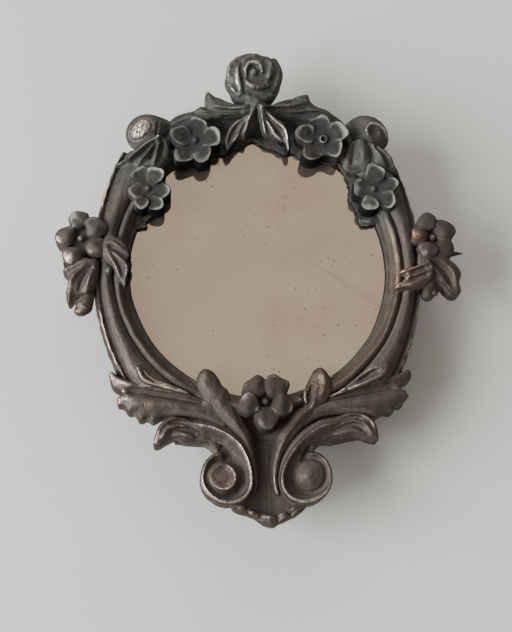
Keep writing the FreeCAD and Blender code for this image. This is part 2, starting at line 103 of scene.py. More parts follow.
def waves(x, y, size, seed):
    """Soft hand-made unevenness, between about -1 and 1."""
    random = np.random.default_rng(seed)
    total = np.zeros(np.broadcast(x, y).shape)
    for _ in range(7):
        turn, phase, stretch = random.uniform(0, 6.28, 3)
        pitch = 6.28 / (size * (0.6 + 0.15 * stretch))
        total = total + np.sin((x * math.cos(turn) + y * math.sin(turn)) * pitch + phase)
    return total / 4


# clay: a block of voxels that holds the distance to a sculpted surface --------------------------

def soft_min(a, b, blend):
    h = np.clip(0.5 + 0.5 * (b - a) / blend, 0, 1)
    return b + (a - b) * h - blend * h * (1 - h)


class Clay:
    def __init__(self, x, y, z):
        """A block over the ranges x, y and z, on one lattice that all blocks share."""
        self.start = [math.floor(low / VOXEL) - 3 for low in (x[0], y[0], z[0])]
        stop = [math.ceil(high / VOXEL) + 4 for high in (x[1], y[1], z[1])]
        axes = [np.arange(a, b) * VOXEL for a, b in zip(self.start, stop)]
        self.x = axes[0][:, None]
        self.y = axes[1][None, :]
        self.z = axes[2]
        self.d = np.full([len(axis) for axis in axes], 3.0, np.float32)

    # plan view measures, one value for each column of the block
    def track(self, route):
        """Distance to a route, share of its length, and signed offset (+ on its left)."""
        route = np.asarray(route, float)[:, :2]
        best = np.full((self.x.shape[0], self.y.shape[1]), 1e9)
        share = np.zeros_like(best)
        offset = np.zeros_like(best)
        spans = np.hypot(*(route[1:] - route[:-1]).T)
        total = spans.sum()
        done = 0.0
        for a, b, span in zip(route[:-1], route[1:], spans):
            if span < 1e-6:
                continue
            ux, uy = (b - a) / span
            px = self.x - a[0]
            py = self.y - a[1]
            t = np.clip(px * ux + py * uy, 0, span)
            near = np.hypot(px - t * ux, py - t * uy)
            closer = near < best
            best = np.where(closer, near, best)
            share = np.where(closer, (done + t) / total, share)
            offset = np.where(closer, np.sign(ux * py - uy * px) * near, offset)
            done += span
        return best, share, offset

    def inside(self, outline):
        """Depth inside a closed outline, negative outside it."""
        outline = np.asarray(outline, float)[:, :2]
        loop = np.vstack([outline, outline[:1]])
        depth = self.track(loop)[0]
        odd = np.zeros(depth.shape, bool)
        for a, b in zip(loop[:-1], loop[1:]):
            if a[1] == b[1]:
                continue
            crosses = (a[1] > self.y) != (b[1] > self.y)
            reach = (b[0] - a[0]) * (self.y - a[1]) / (b[1] - a[1]) + a[0]
            odd ^= crosses & (self.x < reach)
        return np.where(odd, depth, -depth)

    def radius(self, centre):
        return np.hypot(self.x - centre[0], self.y - centre[1])

    # sculpting
    def add(self, field, blend=0.1):
        self.d = soft_min(self.d, field, blend).astype(np.float32)

    def cut(self, field, blend=0.1):
        self.d = -soft_min(-self.d, field, blend).astype(np.float32)

    def slab(self, depth, top, bottom=CAST_BACK_Z, round_edge=0.12, blend=0.1):
        """Adds what lies inside depth > 0 between the bottom and a shaped top."""
        top = top + np.zeros_like(depth)
        slope = np.hypot(*np.gradient(top, VOXEL))
        roof = (self.z - top[:, :, None]) / np.sqrt(1 + np.minimum(slope, 3.0) ** 2)[:, :, None]
        floor = (bottom + np.zeros_like(depth))[:, :, None] - self.z
        body = -soft_min(-roof, -floor, round_edge)
        body = -soft_min(-body, depth[:, :, None], round_edge)
        self.add(body, blend)

    def bar(self, points, flat=1.0):
        """Distance to a round bar through (x, y, z, radius) points; flat > 1 thins it in z."""
        points = np.asarray(points, float)
        field = np.full(self.d.shape, 3.0, np.float32)
        for a, b in zip(points[:-1], points[1:]):
            reach = max(a[3], b[3]) + 0.9
            low = [min(a[i], b[i]) - reach for i in range(3)]
            high = [max(a[i], b[i]) + reach for i in range(3)]
            window = self.window(low, high)
            if window is None:
                continue
            i, j, k = window
            px = self.x[i] - a[0]
            py = self.y[:, j] - a[1]
            pz = (self.z[k] - a[2]) * flat
            sx, sy, sz = b[0] - a[0], b[1] - a[1], (b[2] - a[2]) * flat
            length2 = sx * sx + sy * sy + sz * sz + 1e-9
            dot = (px * sx + py * sy)[:, :, None] + pz * sz
            t = np.clip(dot / length2, 0, 1)
            qx = px[:, :, None] - t * sx
            qy = py[:, :, None] - t * sy
            qz = pz - t * sz
            near = np.sqrt(qx * qx + qy * qy + qz * qz) - (a[3] + (b[3] - a[3]) * t)
            field[i, j, k] = np.minimum(field[i, j, k], near)
        return field

    def ball(self, centre, radii, turn=Matrix.Identity(3)):
        """Distance to an ellipsoid with its own turn."""
        px = (self.x - centre[0])[:, :, None]
        py = (self.y - centre[1])[:, :, None]
        pz = self.z - centre[2]
        q = [turn[0][i] * px + turn[1][i] * py + turn[2][i] * pz for i in range(3)]
        k0 = np.sqrt(sum((q[i] / radii[i]) ** 2 for i in range(3)))
        k1 = np.sqrt(sum((q[i] / radii[i] ** 2) ** 2 for i in range(3))) + 1e-6
        return k0 * (k0 - 1) / k1

    def window(self, low, high):
        """The block's slices that cover a range, or None."""
        out = []
        for axis, (a, b) in enumerate(zip(low, high)):
            first = max(0, math.floor(a / VOXEL) - self.start[axis])
            last = min(self.d.shape[axis], math.ceil(b / VOXEL) + 1 - self.start[axis])
            if last - first < 2:
                return None
            out.append(slice(first, last))
        return out

    def surface(self):
        """Vertices in millimetres and quads of the sculpted surface."""
        grid = openvdb.FloatGrid()
        grid.copyFromArray(np.ascontiguousarray(self.d))
        points, quads = grid.convertToQuads(isovalue=0.0)
        return (np.asarray(points) + self.start) * VOXEL, np.asarray(quads)


pieces = {}


def sculpt(name, x, y, z=(0.3, 6.5)):
    """Starts the clay of a piece."""
    pieces[name] = Clay(x, y, z)
    return pieces[name]


def stroke(clay, points, blend=0.15, flat=1.0, steps=6):
    """Lays on a round bar through (x, y, z, radius) points."""
    clay.add(clay.bar(smooth(points, steps=steps), flat), blend)


def score(clay, points, blend=0.12, flat=1.0, steps=6):
    """Cuts a groove with a round tool along (x, y, z, radius) points."""
    clay.cut(clay.bar(smooth(points, steps=steps), flat), blend)


# round moulding and side mouldings ------------------------------------------------------------

def crest_gap(clay):
    """Depth inside the space over the mirror's top where the rim's moulding stops."""
    return np.minimum(CREST_GAP_X - np.abs(clay.x), clay.y - CREST_GAP_Y)


def make_rim():
    clay = sculpt("rim_cast", (-16.4, 16.4), (-16.4, 16.4), (0.3, 4.5))
    r = clay.radius((0, 0)) + 0.05 * waves(clay.x, clay.y, 5.0, 1)
    profile_r = [14.1, 14.25, 14.4, 14.85, 15.05, 15.2, 15.4, 15.6, 15.75, 15.9, 16.0, 16.2]
    profile_z = [2.4, 2.75, 2.85, 2.95, 3.2, 3.65, 4.0, 4.08, 4.04, 3.9, 3.75, 3.65]
    top = np.interp(r, profile_r, profile_z) + 0.05 * waves(clay.x, clay.y, 2.2, 2)
    depth = np.minimum(r - OPENING_R, RIM_R - r)
    depth = np.minimum(depth, np.maximum(clay.radius((0, 0)) - SEAT_R, -crest_gap(clay)))
    top = mix(top, 2.6, ease(crest_gap(clay), -0.2, 0.2))
    seat = np.where(clay.radius((0, 0)) < SEAT_R, MIRROR_TOP_Z + 0.02, CAST_BACK_Z)
    clay.slab(depth, top, seat, 0.12)


def rail_inset(clay, side):
    """Distance inwards from the side's outer arc."""
    centre = (side * (RAIL_REACH_X - RAIL_ARC_R), 0.8)
    return RAIL_ARC_R - clay.radius(centre)


def make_side_rail(side):
    """A thin outer lip, a groove, and a broad rounded moulding that fills the way to the rim."""
    clay = sculpt("side_rail_cast_" + NAMES[side], sorted((side * 8.0, side * 18.7)), (-13.6, 14.2),
            (0.3, 5.0))
    rough = waves(clay.x, clay.y, 1.0, 5 + side)
    inset = rail_inset(clay, side) + 0.05 * rough
    beyond = clay.radius((0, 0)) - RIM_R
    lip = 3.4 * dome(inset, 0.45) + 0.12 * rough * bump(inset - 0.4, 0.3)
    lip = mix(lip, 3.1, ease(inset, 0.5, 0.85))
    room = np.maximum(inset - 0.95 + np.maximum(beyond, 0.0), 0.2)
    across = np.clip((inset - 0.95) / room, 0, 1)
    moulding = 3.35 + 0.95 * (4 * across * (1 - across)) ** 0.6 * np.minimum(room / 1.4, 1.0)
    top = np.where(inset > 0.95, moulding, lip)
    top = top + 0.05 * waves(clay.x, clay.y, 2.4, 8 + side)
    depth = np.minimum(inset, beyond + 0.15)
    depth = np.minimum(depth, np.minimum(clay.y - RAIL_LOW_Y, RAIL_HIGH_Y - clay.y))
    clay.slab(depth, top, CAST_BACK_Z, 0.16)


def make_crest_ground():
    """Dark hollow ground behind the crest flowers and leaves, with a wavy lower edge over the mirror."""
    clay = sculpt("crest_ground", (-11.8, 11.8), (10.6, 20.0), (0.3, 4.0))
    upper = [(11.4, 12.4), (11.2, 15.4), (9.5, 17.9), (7.4, 18.7), (4.6, 18.9), (2.4, 19.0), (0.0, 19.2),
            (-2.4, 19.0), (-4.6, 18.9), (-7.4, 18.6), (-9.3, 17.8), (-11.2, 15.4), (-11.4, 12.4)]
    lower = [(-10.6, 11.0), (-10.1, 12.3), (-9.4, 12.9), (-8.8, 12.2), (-7.3, 12.6), (-5.3, 13.0),
            (-4.4, 13.6), (-3.6, 13.5), (-2.4, 14.1), (-1.6, 14.3), (-0.9, 14.9), (-0.2, 15.25),
            (0.5, 14.8), (1.3, 14.3), (2.3, 14.0), (3.3, 13.4), (4.4, 13.7), (5.2, 13.0), (7.2, 12.6),
            (8.8, 12.3), (9.5, 13.0), (10.2, 12.4), (10.7, 11.0)]
    outline = np.vstack([smooth(upper, steps=5), smooth(lower, steps=4)])
    depth = clay.inside(outline)
    r = clay.radius((0, -1.0))
    top = 2.85 + 0.5 * ease(r, 17.4, 19.0) + 0.2 * bump(r - 16.4, 0.5) + 0.10 * waves(clay.x, clay.y, 1.8, 11)
    seat = np.where(clay.radius((0, 0)) < SEAT_R, MIRROR_TOP_Z + 0.08, CAST_BACK_Z)
    clay.slab(depth, top, seat, 0.15)


def make_shoulder_ground(side):
    """The same ground goes on below each shoulder flower, scalloped over the mirror."""
    if side > 0:
        scallops = [(9.3, 12.7), (10.1, 11.0), (10.5, 9.7), (10.4, 8.2), (11.0, 7.0), (11.4, 5.6),
                (11.7, 4.9), (12.7, 5.0)]
    else:
        scallops = [(-9.7, 12.2), (-10.2, 10.7), (-10.0, 9.7), (-10.4, 8.6), (-10.7, 7.4), (-11.3, 6.4),
                (-12.2, 5.9), (-12.3, 5.1), (-13.4, 4.9)]
    clay = sculpt("shoulder_ground_" + NAMES[side], sorted((side * 9.2, side * 15.2)), (4.6, 13.2),
            (1.2, 4.0))
    back = [(side * 14.9, 5.4), (side * 14.1, 7.4), (side * 12.6, 9.6), (side * 10.9, 12.0)]
    depth = clay.inside(np.vstack([smooth(scallops, steps=4), back]))
    top = 3.0 + 0.12 * waves(clay.x, clay.y, 1.5, 61 + side)
    clay.slab(depth + 0.08 * waves(clay.x, clay.y, 0.9, 63 + side), top, MIRROR_TOP_Z + 0.08, 0.2)


# flowers ----------------------------------------------------------------------------------------

def make_flower(name, centre, petals, top, crown=-0.24, base=2.45, hollow=False):
    """Round petals (x, y, radius) about a bead or a small tube; crown > 0 domes them, < 0 cups them."""
    cx, cy = centre
    reach = 3.4
    clay = sculpt(name, (cx - reach, cx + reach), (cy - reach, cy + reach), (base - 0.2, top + 0.8))
    rough = waves(clay.x, clay.y, 1.7, int(abs(cx * 7)))
    from_centre = clay.radius(centre)
    middle = top - (0.45 if crown < 0 else 0.8)
    clay.slab(1.95 - from_centre + 0.1 * rough, middle, base, 0.2)
    for count, (px, py, radius) in enumerate(petals):
        dx, dy = px - cx, py - cy
        away = math.hypot(dx, dy)
        out = ((clay.x - px) * dx + (clay.y - py) * dy) / away
        across = ((clay.x - px) * dy - (clay.y - py) * dx) / away
        around = np.arctan2(across, out)
        d = np.hypot(out, 0.93 * across) * (1 + 0.07 * np.cos(3 * around + count) - 0.05 * np.cos(around))
        t = d / radius
        step = (-0.14, 0.12, -0.02)[count % 3]
        turned_up = 0.5 + 0.5 * np.cos(around + 0.8 * (count % 3 - 1))
        cup = crown * (1 - np.minimum(t, 1.1) ** (3 if crown < 0 else 2))
        cup = cup + np.minimum(crown, 0) * (turned_up - 1) * -1.2 * t
        level = top + step + cup + (0.10 if crown < 0 else -0.12) * out / radius
        level = level - 0.4 * bump(from_centre, 0.85) + 0.09 * rough
        clay.slab(1.06 * radius - d + 0.08 * rough, level, base, 0.2, 0.2 if crown < 0 else 0.08)
    if hollow:
        clay.add(clay.bar([(cx, cy, top - 1.4, 0.56), (cx, cy, top - 0.55, 0.56)]), 0.05)
        clay.cut(clay.bar([(cx, cy, top - 0.30, 0.30), (cx, cy, top + 0.5, 0.30)]), 0.05)
    else:
        clay.add(clay.ball((cx, cy, top - 0.55), (0.42, 0.42, 0.36)), 0.08)


def make_flowers():
    make_flower("crest_bloom_left", (-6.8, 14.55), [(-6.45, 16.2, 0.95), (-5.0, 14.8, 1.05),
            (-6.05, 12.95, 1.0), (-8.05, 13.0, 1.05), (-8.3, 15.05, 1.1)], 5.5)
    make_flower("crest_bloom_right", (7.6, 14.5), [(7.3, 16.3, 1.05), (9.2, 15.3, 1.05), (8.7, 13.4, 1.0),
            (6.3, 13.15, 1.1), (5.7, 15.1, 1.05)], 5.5, hollow=True)
    make_flower("shoulder_bloom_left", (-12.1, 9.0), [(-12.8, 10.5, 0.95), (-11.3, 10.4, 0.95),
            (-13.3, 8.7, 0.9), (-10.7, 8.7, 0.95), (-12.8, 7.3, 0.8), (-11.3, 7.2, 0.85)], 5.3, -0.15)
    make_flower("shoulder_bloom_right", (13.0, 8.7), [(11.7, 8.8, 0.95), (12.5, 7.0, 0.95),
            (14.4, 7.4, 1.0), (14.7, 9.2, 1.0), (13.2, 10.4, 1.05)], 5.3, -0.2)
    make_flower("side_bloom_left", (-19.5, 3.5), [(-19.7, 5.6, 1.0), (-17.9, 4.6, 1.1), (-17.9, 2.4, 1.05),
            (-21.1, 3.7, 1.05), (-20.4, 1.5, 1.0)], 4.7, 0.3, 1.4)
    make_flower("side_bloom_right", (19.5, 3.2), [(18.0, 3.4, 0.95), (18.9, 4.9, 0.95), (20.7, 3.9, 1.1),
            (20.7, 2.0, 1.0), (18.8, 1.6, 1.0)], 4.7, 0.25, 1.4)
    make_flower("base_bloom", (0.2, -15.2), [(-0.75, -13.6, 1.12), (1.4, -13.7, 1.18), (1.95, -15.6, 1.14),
            (0.3, -16.9, 1.2), (-1.55, -15.5, 1.12)], 5.45, 0.22)


# rose ---------------------------------------------------------------------------------------------

def make_rose():
    """Rose: a bud in a ring of petals, long petals down its left, broad ones on the right and below."""
    clay = sculpt("rose_cast", (-3.9, 4.2), (18.4, 26.8), (0.8, 6.3))
    outline = smooth([(-0.2, 25.8), (1.2, 25.2), (1.8, 25.4), (3.1, 24.4), (3.55, 23.4), (3.3, 22.3),
            (2.95, 21.2), (2.0, 19.8), (1.0, 19.3), (-0.6, 19.3), (-1.7, 19.6), (-2.4, 20.4), (-2.7, 21.2),
            (-3.2, 22.2), (-3.05, 23.2), (-2.7, 24.1), (-1.7, 25.1)], True, 5)
    depth = clay.inside(outline)
    rough = waves(clay.x, clay.y, 0.8, 31)
    clay.slab(depth + 0.06 * rough, 2.9 + 1.75 * dome(depth, 2.3) + 0.06 * rough, 1.8, 0.3)
    petals = [[(-0.2, 25.3, 3.5, 0.3), (-1.5, 24.8, 3.7, 0.4), (-2.5, 23.8, 3.75, 0.38),
            (-2.8, 22.5, 3.6, 0.3)], [(-2.6, 21.7, 3.6, 0.3), (-2.1, 20.8, 3.9, 0.36),
            (-1.5, 20.1, 3.7, 0.3)], [(-1.6, 23.9, 4.2, 0.3), (-1.85, 22.9, 4.45, 0.42),
            (-1.75, 21.6, 4.45, 0.42), (-1.4, 20.5, 4.2, 0.32)], [(-1.0, 24.4, 4.2, 0.35),
            (0.1, 24.9, 4.15, 0.42), (1.1, 24.6, 4.1, 0.4)], [(-0.9, 22.4, 4.6, 0.25),
            (-0.85, 23.3, 4.75, 0.3), (-0.2, 23.9, 4.8, 0.3), (0.7, 23.8, 4.8, 0.3),
            (1.05, 22.9, 4.7, 0.25)], [(-0.9, 21.8, 4.5, 0.25), (-0.4, 21.2, 4.7, 0.36),
            (0.5, 20.9, 4.75, 0.38), (1.6, 21.2, 4.5, 0.25)], [(1.5, 21.9, 4.3, 0.3),
            (1.9, 22.8, 4.5, 0.42), (2.0, 23.7, 4.4, 0.45), (1.6, 24.6, 4.0, 0.4)], [(2.4, 21.2, 3.9, 0.35),
            (2.85, 22.3, 3.9, 0.42), (2.85, 23.5, 3.8, 0.45), (2.4, 24.6, 3.6, 0.4)],
            [(-1.2, 20.4, 3.9, 0.35), (-0.3, 19.9, 4.0, 0.42), (0.9, 19.8, 4.0, 0.45),
            (2.0, 20.2, 3.9, 0.4)], ]
    for route in petals:
        stroke(clay, route, 0.22, 0.85)
    for route in ([(-1.25, 23.0, 4.8, 0.14), (-1.2, 22.0, 4.8, 0.2), (-1.1, 21.0, 4.6, 0.14)],
            [(-0.3, 21.7, 4.9, 0.14), (0.6, 21.45, 4.9, 0.2), (1.3, 21.6, 4.8, 0.18)],
            [(1.35, 22.6, 4.8, 0.12), (1.5, 23.4, 4.8, 0.16), (1.2, 24.2, 4.5, 0.12)],
            [(2.3, 22.0, 4.5, 0.14), (2.5, 23.0, 4.5, 0.18), (2.3, 24.0, 4.4, 0.14)],
            [(-0.6, 20.5, 4.7, 0.12), (0.6, 20.3, 4.75, 0.16), (1.7, 20.7, 4.6, 0.14)],
            [(-2.4, 22.9, 4.4, 0.14), (-2.3, 21.8, 4.5, 0.16), (-1.9, 20.8, 4.4, 0.12)]):
        score(clay, route, 0.12)
    clay.add(clay.ball((0.05, 22.75, 4.75), (0.45, 0.5, 0.42)), 0.08)
    clay.d = (clay.d + 0.04 * rough[:, :, None]).astype(np.float32)


# leaves -------------------------------------------------------------------------------------------

def make_leaf(name, outline, ribs, top, bottom, rise=0.9, width=1.0, rib=(0.28, 0.35), grooves=(),
              groove=(0.22, 0.22), tilt=None, edge_lift=0.0, z=(0.3, 6.5), steps=5, seed=1):
    """A cast leaf: rounded blade over an outline, raised ribs, cut grooves, and an optional turned-up edge.

    tilt is ((x, y) root, (x, y) tip, height at the root, height at the tip), added to the top.
    """
    rim = smooth(outline, True, steps)
    xs, ys = rim[:, 0], rim[:, 1]
    clay = sculpt(name, (xs.min() - 0.2, xs.max() + 0.2), (ys.min() - 0.2, ys.max() + 0.2), z)
    shape_leaf(clay, rim, ribs, top, bottom, rise, width, rib, grooves, groove, tilt, edge_lift, seed)
    return clay


def shape_leaf(clay, rim, ribs, top, bottom, rise, width, rib, grooves, groove, tilt, edge_lift, seed):
    depth = clay.inside(rim)
    level = top - rise + rise * dome(depth, width)
    if tilt:
        (x0, y0), (x1, y1), at_root, at_tip = tilt
        long2 = (x1 - x0) ** 2 + (y1 - y0) ** 2
        along = ((clay.x - x0) * (x1 - x0) + (clay.y - y0) * (y1 - y0)) / long2
        level = level + mix(at_root, at_tip, np.clip(along, -0.1, 1.1))
    for route in ribs:
        near, share, _ = clay.track(smooth([p[:2] for p in route]))
        high, wide = rib if len(route[0]) == 2 else route[0][2:]
        swell = np.sin(np.pi * np.clip(share * 0.9 + 0.1, 0, 1))
        level = level + high * bump(near, wide) * (0.35 + 0.65 * swell)
    for route in grooves:
        near, share, _ = clay.track(smooth([p[:2] for p in route]))
        deep, wide = groove if len(route[0]) == 2 else route[0][2:]
        level = level - deep * bump(near, wide) * ease(1 - share, 0.0, 0.15)
    level = level + edge_lift * bump(depth - 0.25, 0.22)
    level = level + 0.035 * waves(clay.x, clay.y, 1.6, seed)
    base = bottom
    if tilt and bottom > CAST_BACK_Z + 0.6:
        base = bottom + mix(at_root, at_tip, np.clip(along, -0.1, 1.1))
    clay.slab(depth + 0.04 * waves(clay.x, clay.y, 0.8, seed + 50), level, base, 0.14)


def make_crest_leaves():
    make_leaf("crest_leaf_cast_right", [(0.4, 19.4), (1.6, 19.3), (2.8, 19.7), (4.3, 20.2), (5.4, 20.6),
            (6.3, 20.7), (6.6, 19.9), (7.3, 19.3), (8.5, 18.9), (9.6, 17.9), (10.5, 16.9), (9.6, 16.0),
            (7.6, 16.9), (5.0, 17.2), (2.6, 17.6), (0.4, 18.0)], ribs=[[(0.8, 18.8), (3.0, 18.7),
            (4.6, 18.9), (5.9, 19.5)], [(2.6, 18.2), (5.6, 18.3), (8.0, 18.2), (9.6, 17.3)]], top=4.3,
            bottom=CAST_BACK_Z, rise=1.4, width=1.4, rib=(0.45, 0.3), grooves=[[(1.6, 18.5), (4.4, 18.4),
            (6.4, 18.8)], [(4.4, 20.0), (5.4, 19.7), (6.0, 19.8)], [(2.0, 19.2), (3.6, 19.3), (4.8, 19.5)]],
            groove=(0.35, 0.22), tilt=((0.5, 18.6), (9.5, 17.5), 0.5, -0.7), edge_lift=0.15, seed=3)
    make_leaf("crest_leaf_cast_left", [(-0.4, 19.3), (-1.6, 19.3), (-2.8, 19.7), (-3.7, 20.2), (-4.4, 20.5),
            (-5.3, 21.3), (-5.5, 20.3), (-5.45, 19.4), (-6.2, 19.3), (-6.8, 18.9), (-7.6, 18.7),
            (-8.6, 18.1), (-9.7, 17.6), (-9.9, 16.2), (-8.0, 16.8), (-5.0, 17.2), (-2.6, 17.6),
            (-0.4, 18.0)], ribs=[[(0.2, 18.8), (-2.6, 18.4), (-4.4, 18.9), (-5.2, 20.3)], [(-1.0, 17.8),
            (-4.6, 17.9), (-6.4, 18.7)], [(-5.0, 17.5), (-7.4, 17.7), (-9.2, 17.2)]], top=4.3,
            bottom=CAST_BACK_Z, rise=1.4, width=1.3, rib=(0.4, 0.3), grooves=[[(-1.6, 18.2), (-4.2, 18.4),
            (-5.8, 18.9)], [(-3.2, 17.6), (-5.6, 18.1), (-7.2, 18.2)]], groove=(0.35, 0.2),
            tilt=((-0.5, 18.6), (-9.5, 17.5), 0.5, -0.8), edge_lift=0.15, seed=4)
    clay = sculpt("crest_knot", (-2.2, 2.4), (17.2, 20.4), (1.5, 6.5))
    stroke(clay, [(0.3, 17.7, 4.1, 0.75), (0.25, 18.6, 4.0, 0.95), (0.2, 19.6, 3.3, 1.3)], 0.2)
    score(clay, [(0.0, 17.3, 5.0, 0.2), (-0.2, 19.4, 4.9, 0.18)])
    score(clay, [(0.8, 17.4, 4.8, 0.2), (0.8, 19.3, 4.8, 0.16)])


def make_pendant_leaves():
    make_leaf("pendant_leaf_cast_right", [(0.25, 18.9), (0.9, 18.4), (1.6, 17.8), (2.4, 17.2), (3.3, 16.5),
            (3.85, 15.2), (3.95, 13.5), (3.5, 13.2), (3.2, 14.1), (2.8, 14.2), (2.4, 14.6), (1.7, 14.9),
            (1.2, 15.0), (0.8, 15.5), (0.5, 16.6), (0.1, 17.8)], ribs=[[(0.45, 18.6), (0.75, 17.0),
            (1.05, 15.3)], [(0.6, 18.3), (1.3, 16.6), (2.6, 14.6)], [(0.8, 18.2), (2.0, 16.8), (3.3, 15.6),
            (3.7, 13.6)]], top=5.0, bottom=3.9, rise=0.4, width=0.5, rib=(0.52, 0.25), grooves=[],
            groove=(0.0, 0.2), tilt=((0.4, 18.6), (3.0, 13.6), 0.5, -0.1), edge_lift=0.12, seed=6)
    make_leaf("pendant_leaf_cast_left", [(0.2, 18.8), (-0.6, 17.7), (-1.5, 17.2), (-2.5, 16.5),
            (-3.2, 15.5), (-3.6, 14.3), (-3.3, 13.3), (-2.8, 13.5), (-2.4, 14.1), (-1.7, 14.9),
            (-1.2, 14.8), (-0.9, 15.4), (-0.5, 16.3), (0.1, 17.6)], ribs=[[(0.0, 18.2), (-1.4, 16.9),
            (-2.7, 15.9), (-3.35, 14.4), (-3.1, 13.5)], [(0.0, 17.9), (-0.7, 16.6), (-1.3, 15.2)],
            [(-0.2, 17.6), (-1.6, 16.0), (-2.2, 14.6)]], top=4.9, bottom=3.9, rise=0.4, width=0.5,
            rib=(0.45, 0.26), grooves=[], groove=(0.0, 0.2), tilt=((0.2, 18.5), (-3.0, 13.6), 0.5, -0.1),
            edge_lift=0.12, seed=7)


def make_shoulders():
    for side in (-1, 1):
        make_shoulder_roll(side)
    make_leaf("shoulder_leaf_cast_right", [(9.9, 12.6), (10.4, 14.0), (11.6, 14.9), (12.8, 14.6),
            (13.9, 14.0), (14.8, 13.4), (15.5, 12.6), (15.7, 11.9), (16.1, 11.0), (15.3, 10.6),
            (14.2, 10.8), (13.2, 10.8), (12.2, 10.9), (11.0, 11.2), (10.1, 11.6)],
            ribs=[[(12.0, 14.6, 0.3, 0.55), (12.2, 13.0), (11.9, 11.3)], [(12.8, 14.4, 0.4, 0.4),
            (13.9, 13.0), (14.6, 11.3)], [(13.6, 14.1, 0.4, 0.35), (14.9, 12.8), (15.8, 11.2)]], top=4.6,
            bottom=CAST_BACK_Z, rise=1.0, width=1.2, rib=(0.4, 0.42), grooves=[[(12.6, 14.3, 0.5, 0.22),
            (13.1, 12.8), (13.2, 11.2)], [(11.3, 14.4, 0.35, 0.25), (11.0, 12.8), (10.8, 11.6)],
            [(13.6, 13.7, 0.3, 0.2), (14.7, 12.4), (15.2, 11.2)]], groove=(0.45, 0.2), tilt=((12.0, 14.8),
            (12.6, 10.8), 0.2, -0.3), edge_lift=0.1, seed=8)
    make_leaf("shoulder_leaf_cast_left", [(-9.6, 14.2), (-10.3, 15.2), (-11.6, 15.6), (-12.8, 14.9),
            (-13.4, 14.2), (-14.4, 13.1), (-15.6, 12.1), (-14.7, 11.9), (-14.1, 11.3), (-13.0, 11.0),
            (-12.0, 11.2), (-11.0, 11.3), (-10.3, 12.0), (-9.6, 13.0)], ribs=[[(-10.9, 15.0, 0.6, 0.3),
            (-12.3, 14.1), (-13.8, 13.0), (-15.2, 12.2)], [(-10.9, 14.8, 0.5, 0.26), (-12.0, 13.4),
            (-13.2, 11.9)], [(-10.7, 14.8, 0.5, 0.26), (-11.1, 13.4), (-11.4, 11.8)],
            [(-9.9, 14.6, 0.5, 0.22), (-10.5, 15.0), (-11.3, 15.0)]], top=4.6, bottom=CAST_BACK_Z, rise=1.0,
            width=1.2, rib=(0.6, 0.26), grooves=[[(-11.2, 14.4, 0.4, 0.18), (-12.9, 13.1), (-14.0, 12.2)],
            [(-11.0, 14.2, 0.4, 0.18), (-11.9, 12.5)], [(-10.4, 14.2, 0.4, 0.2), (-10.6, 12.8)]],
            groove=(0.45, 0.2), tilt=((-11.0, 15.0), (-13.0, 11.0), 0.2, -0.3), edge_lift=0.1, seed=9)


def make_shoulder_roll(side):
    """The frame's top corner rolls over on itself: a fat roll with an oval end."""
    clay = sculpt("shoulder_roll_" + NAMES[side], sorted((side * 8.4, side * 16.0)), (12.9, 19.4),
            (0.3, 6.0))
    if side > 0:
        body, body_size, spin = (13.0, 15.95, 2.6), (2.5, 2.1, 2.0), -38
        eye, eye_spin = (13.8, 15.45), -42
        link = [(10.4, 15.6, 2.0, 0.9), (11.2, 16.3, 2.3, 1.2), (12.2, 16.4, 2.6, 1.4)]
        crease = [(11.6, 17.9, 4.0, 0.2), (11.5, 16.6, 4.5, 0.24), (11.9, 15.2, 4.3, 0.22),
                (12.5, 14.2, 3.9, 0.2)]
    else:
        body, body_size, spin = (-12.2, 16.3, 2.6), (2.35, 2.2, 2.1), 20
        eye, eye_spin = (-12.85, 16.2), 40
        link = [(-9.4, 16.4, 2.1, 0.9), (-10.4, 16.8, 2.4, 1.3), (-11.6, 16.5, 2.7, 1.6)]
        crease = [(-10.9, 18.0, 4.0, 0.14), (-10.8, 16.8, 4.4, 0.16), (-11.2, 15.4, 4.2, 0.16)]
    clay.add(clay.ball(body, body_size, Matrix.Rotation(math.radians(spin), 3, "Z")), 0.2)
    stroke(clay, link, 0.5)
    turn = Matrix.Rotation(math.radians(eye_spin), 3, "Z")
    long, short = (1.3, 1.0) if side > 0 else (1.45, 1.12)
    ring = []
    for angle in np.linspace(0, 2 * math.pi, 25):
        spot = turn @ Vector((long * math.cos(angle), short * math.sin(angle), 0.0))
        px, py = eye[0] + spot.x, eye[1] + spot.y
        fall = ((px - body[0]) / body_size[0]) ** 2 + ((py - body[1]) / body_size[1]) ** 2
        ring.append((px, py, body[2] + body_size[2] * math.sqrt(max(0.1, 1 - fall)) - 0.03, 0.24))
    grain = waves(clay.x, clay.y, 0.42, 35 + side)[:, :, None]
    if side > 0:
        clay.add(clay.bar(ring), 0.12)
        clay.cut(clay.ball((*eye, 4.95), (long - 0.15, short - 0.15, 0.7), turn), 0.15)
    else:
        clay.cut(clay.bar([(x, y, z + 0.15, 0.15) for x, y, z, _ in ring]), 0.08)
        face = np.clip(1.1 - clay.radius(eye), 0, 1)[:, :, None]
        clay.d = (clay.d + 0.12 * grain * face).astype(np.float32)
    score(clay, crease)
    clay.d = (clay.d + 0.02 * grain).astype(np.float32)
    clay.cut(clay.z - CAST_BACK_Z)


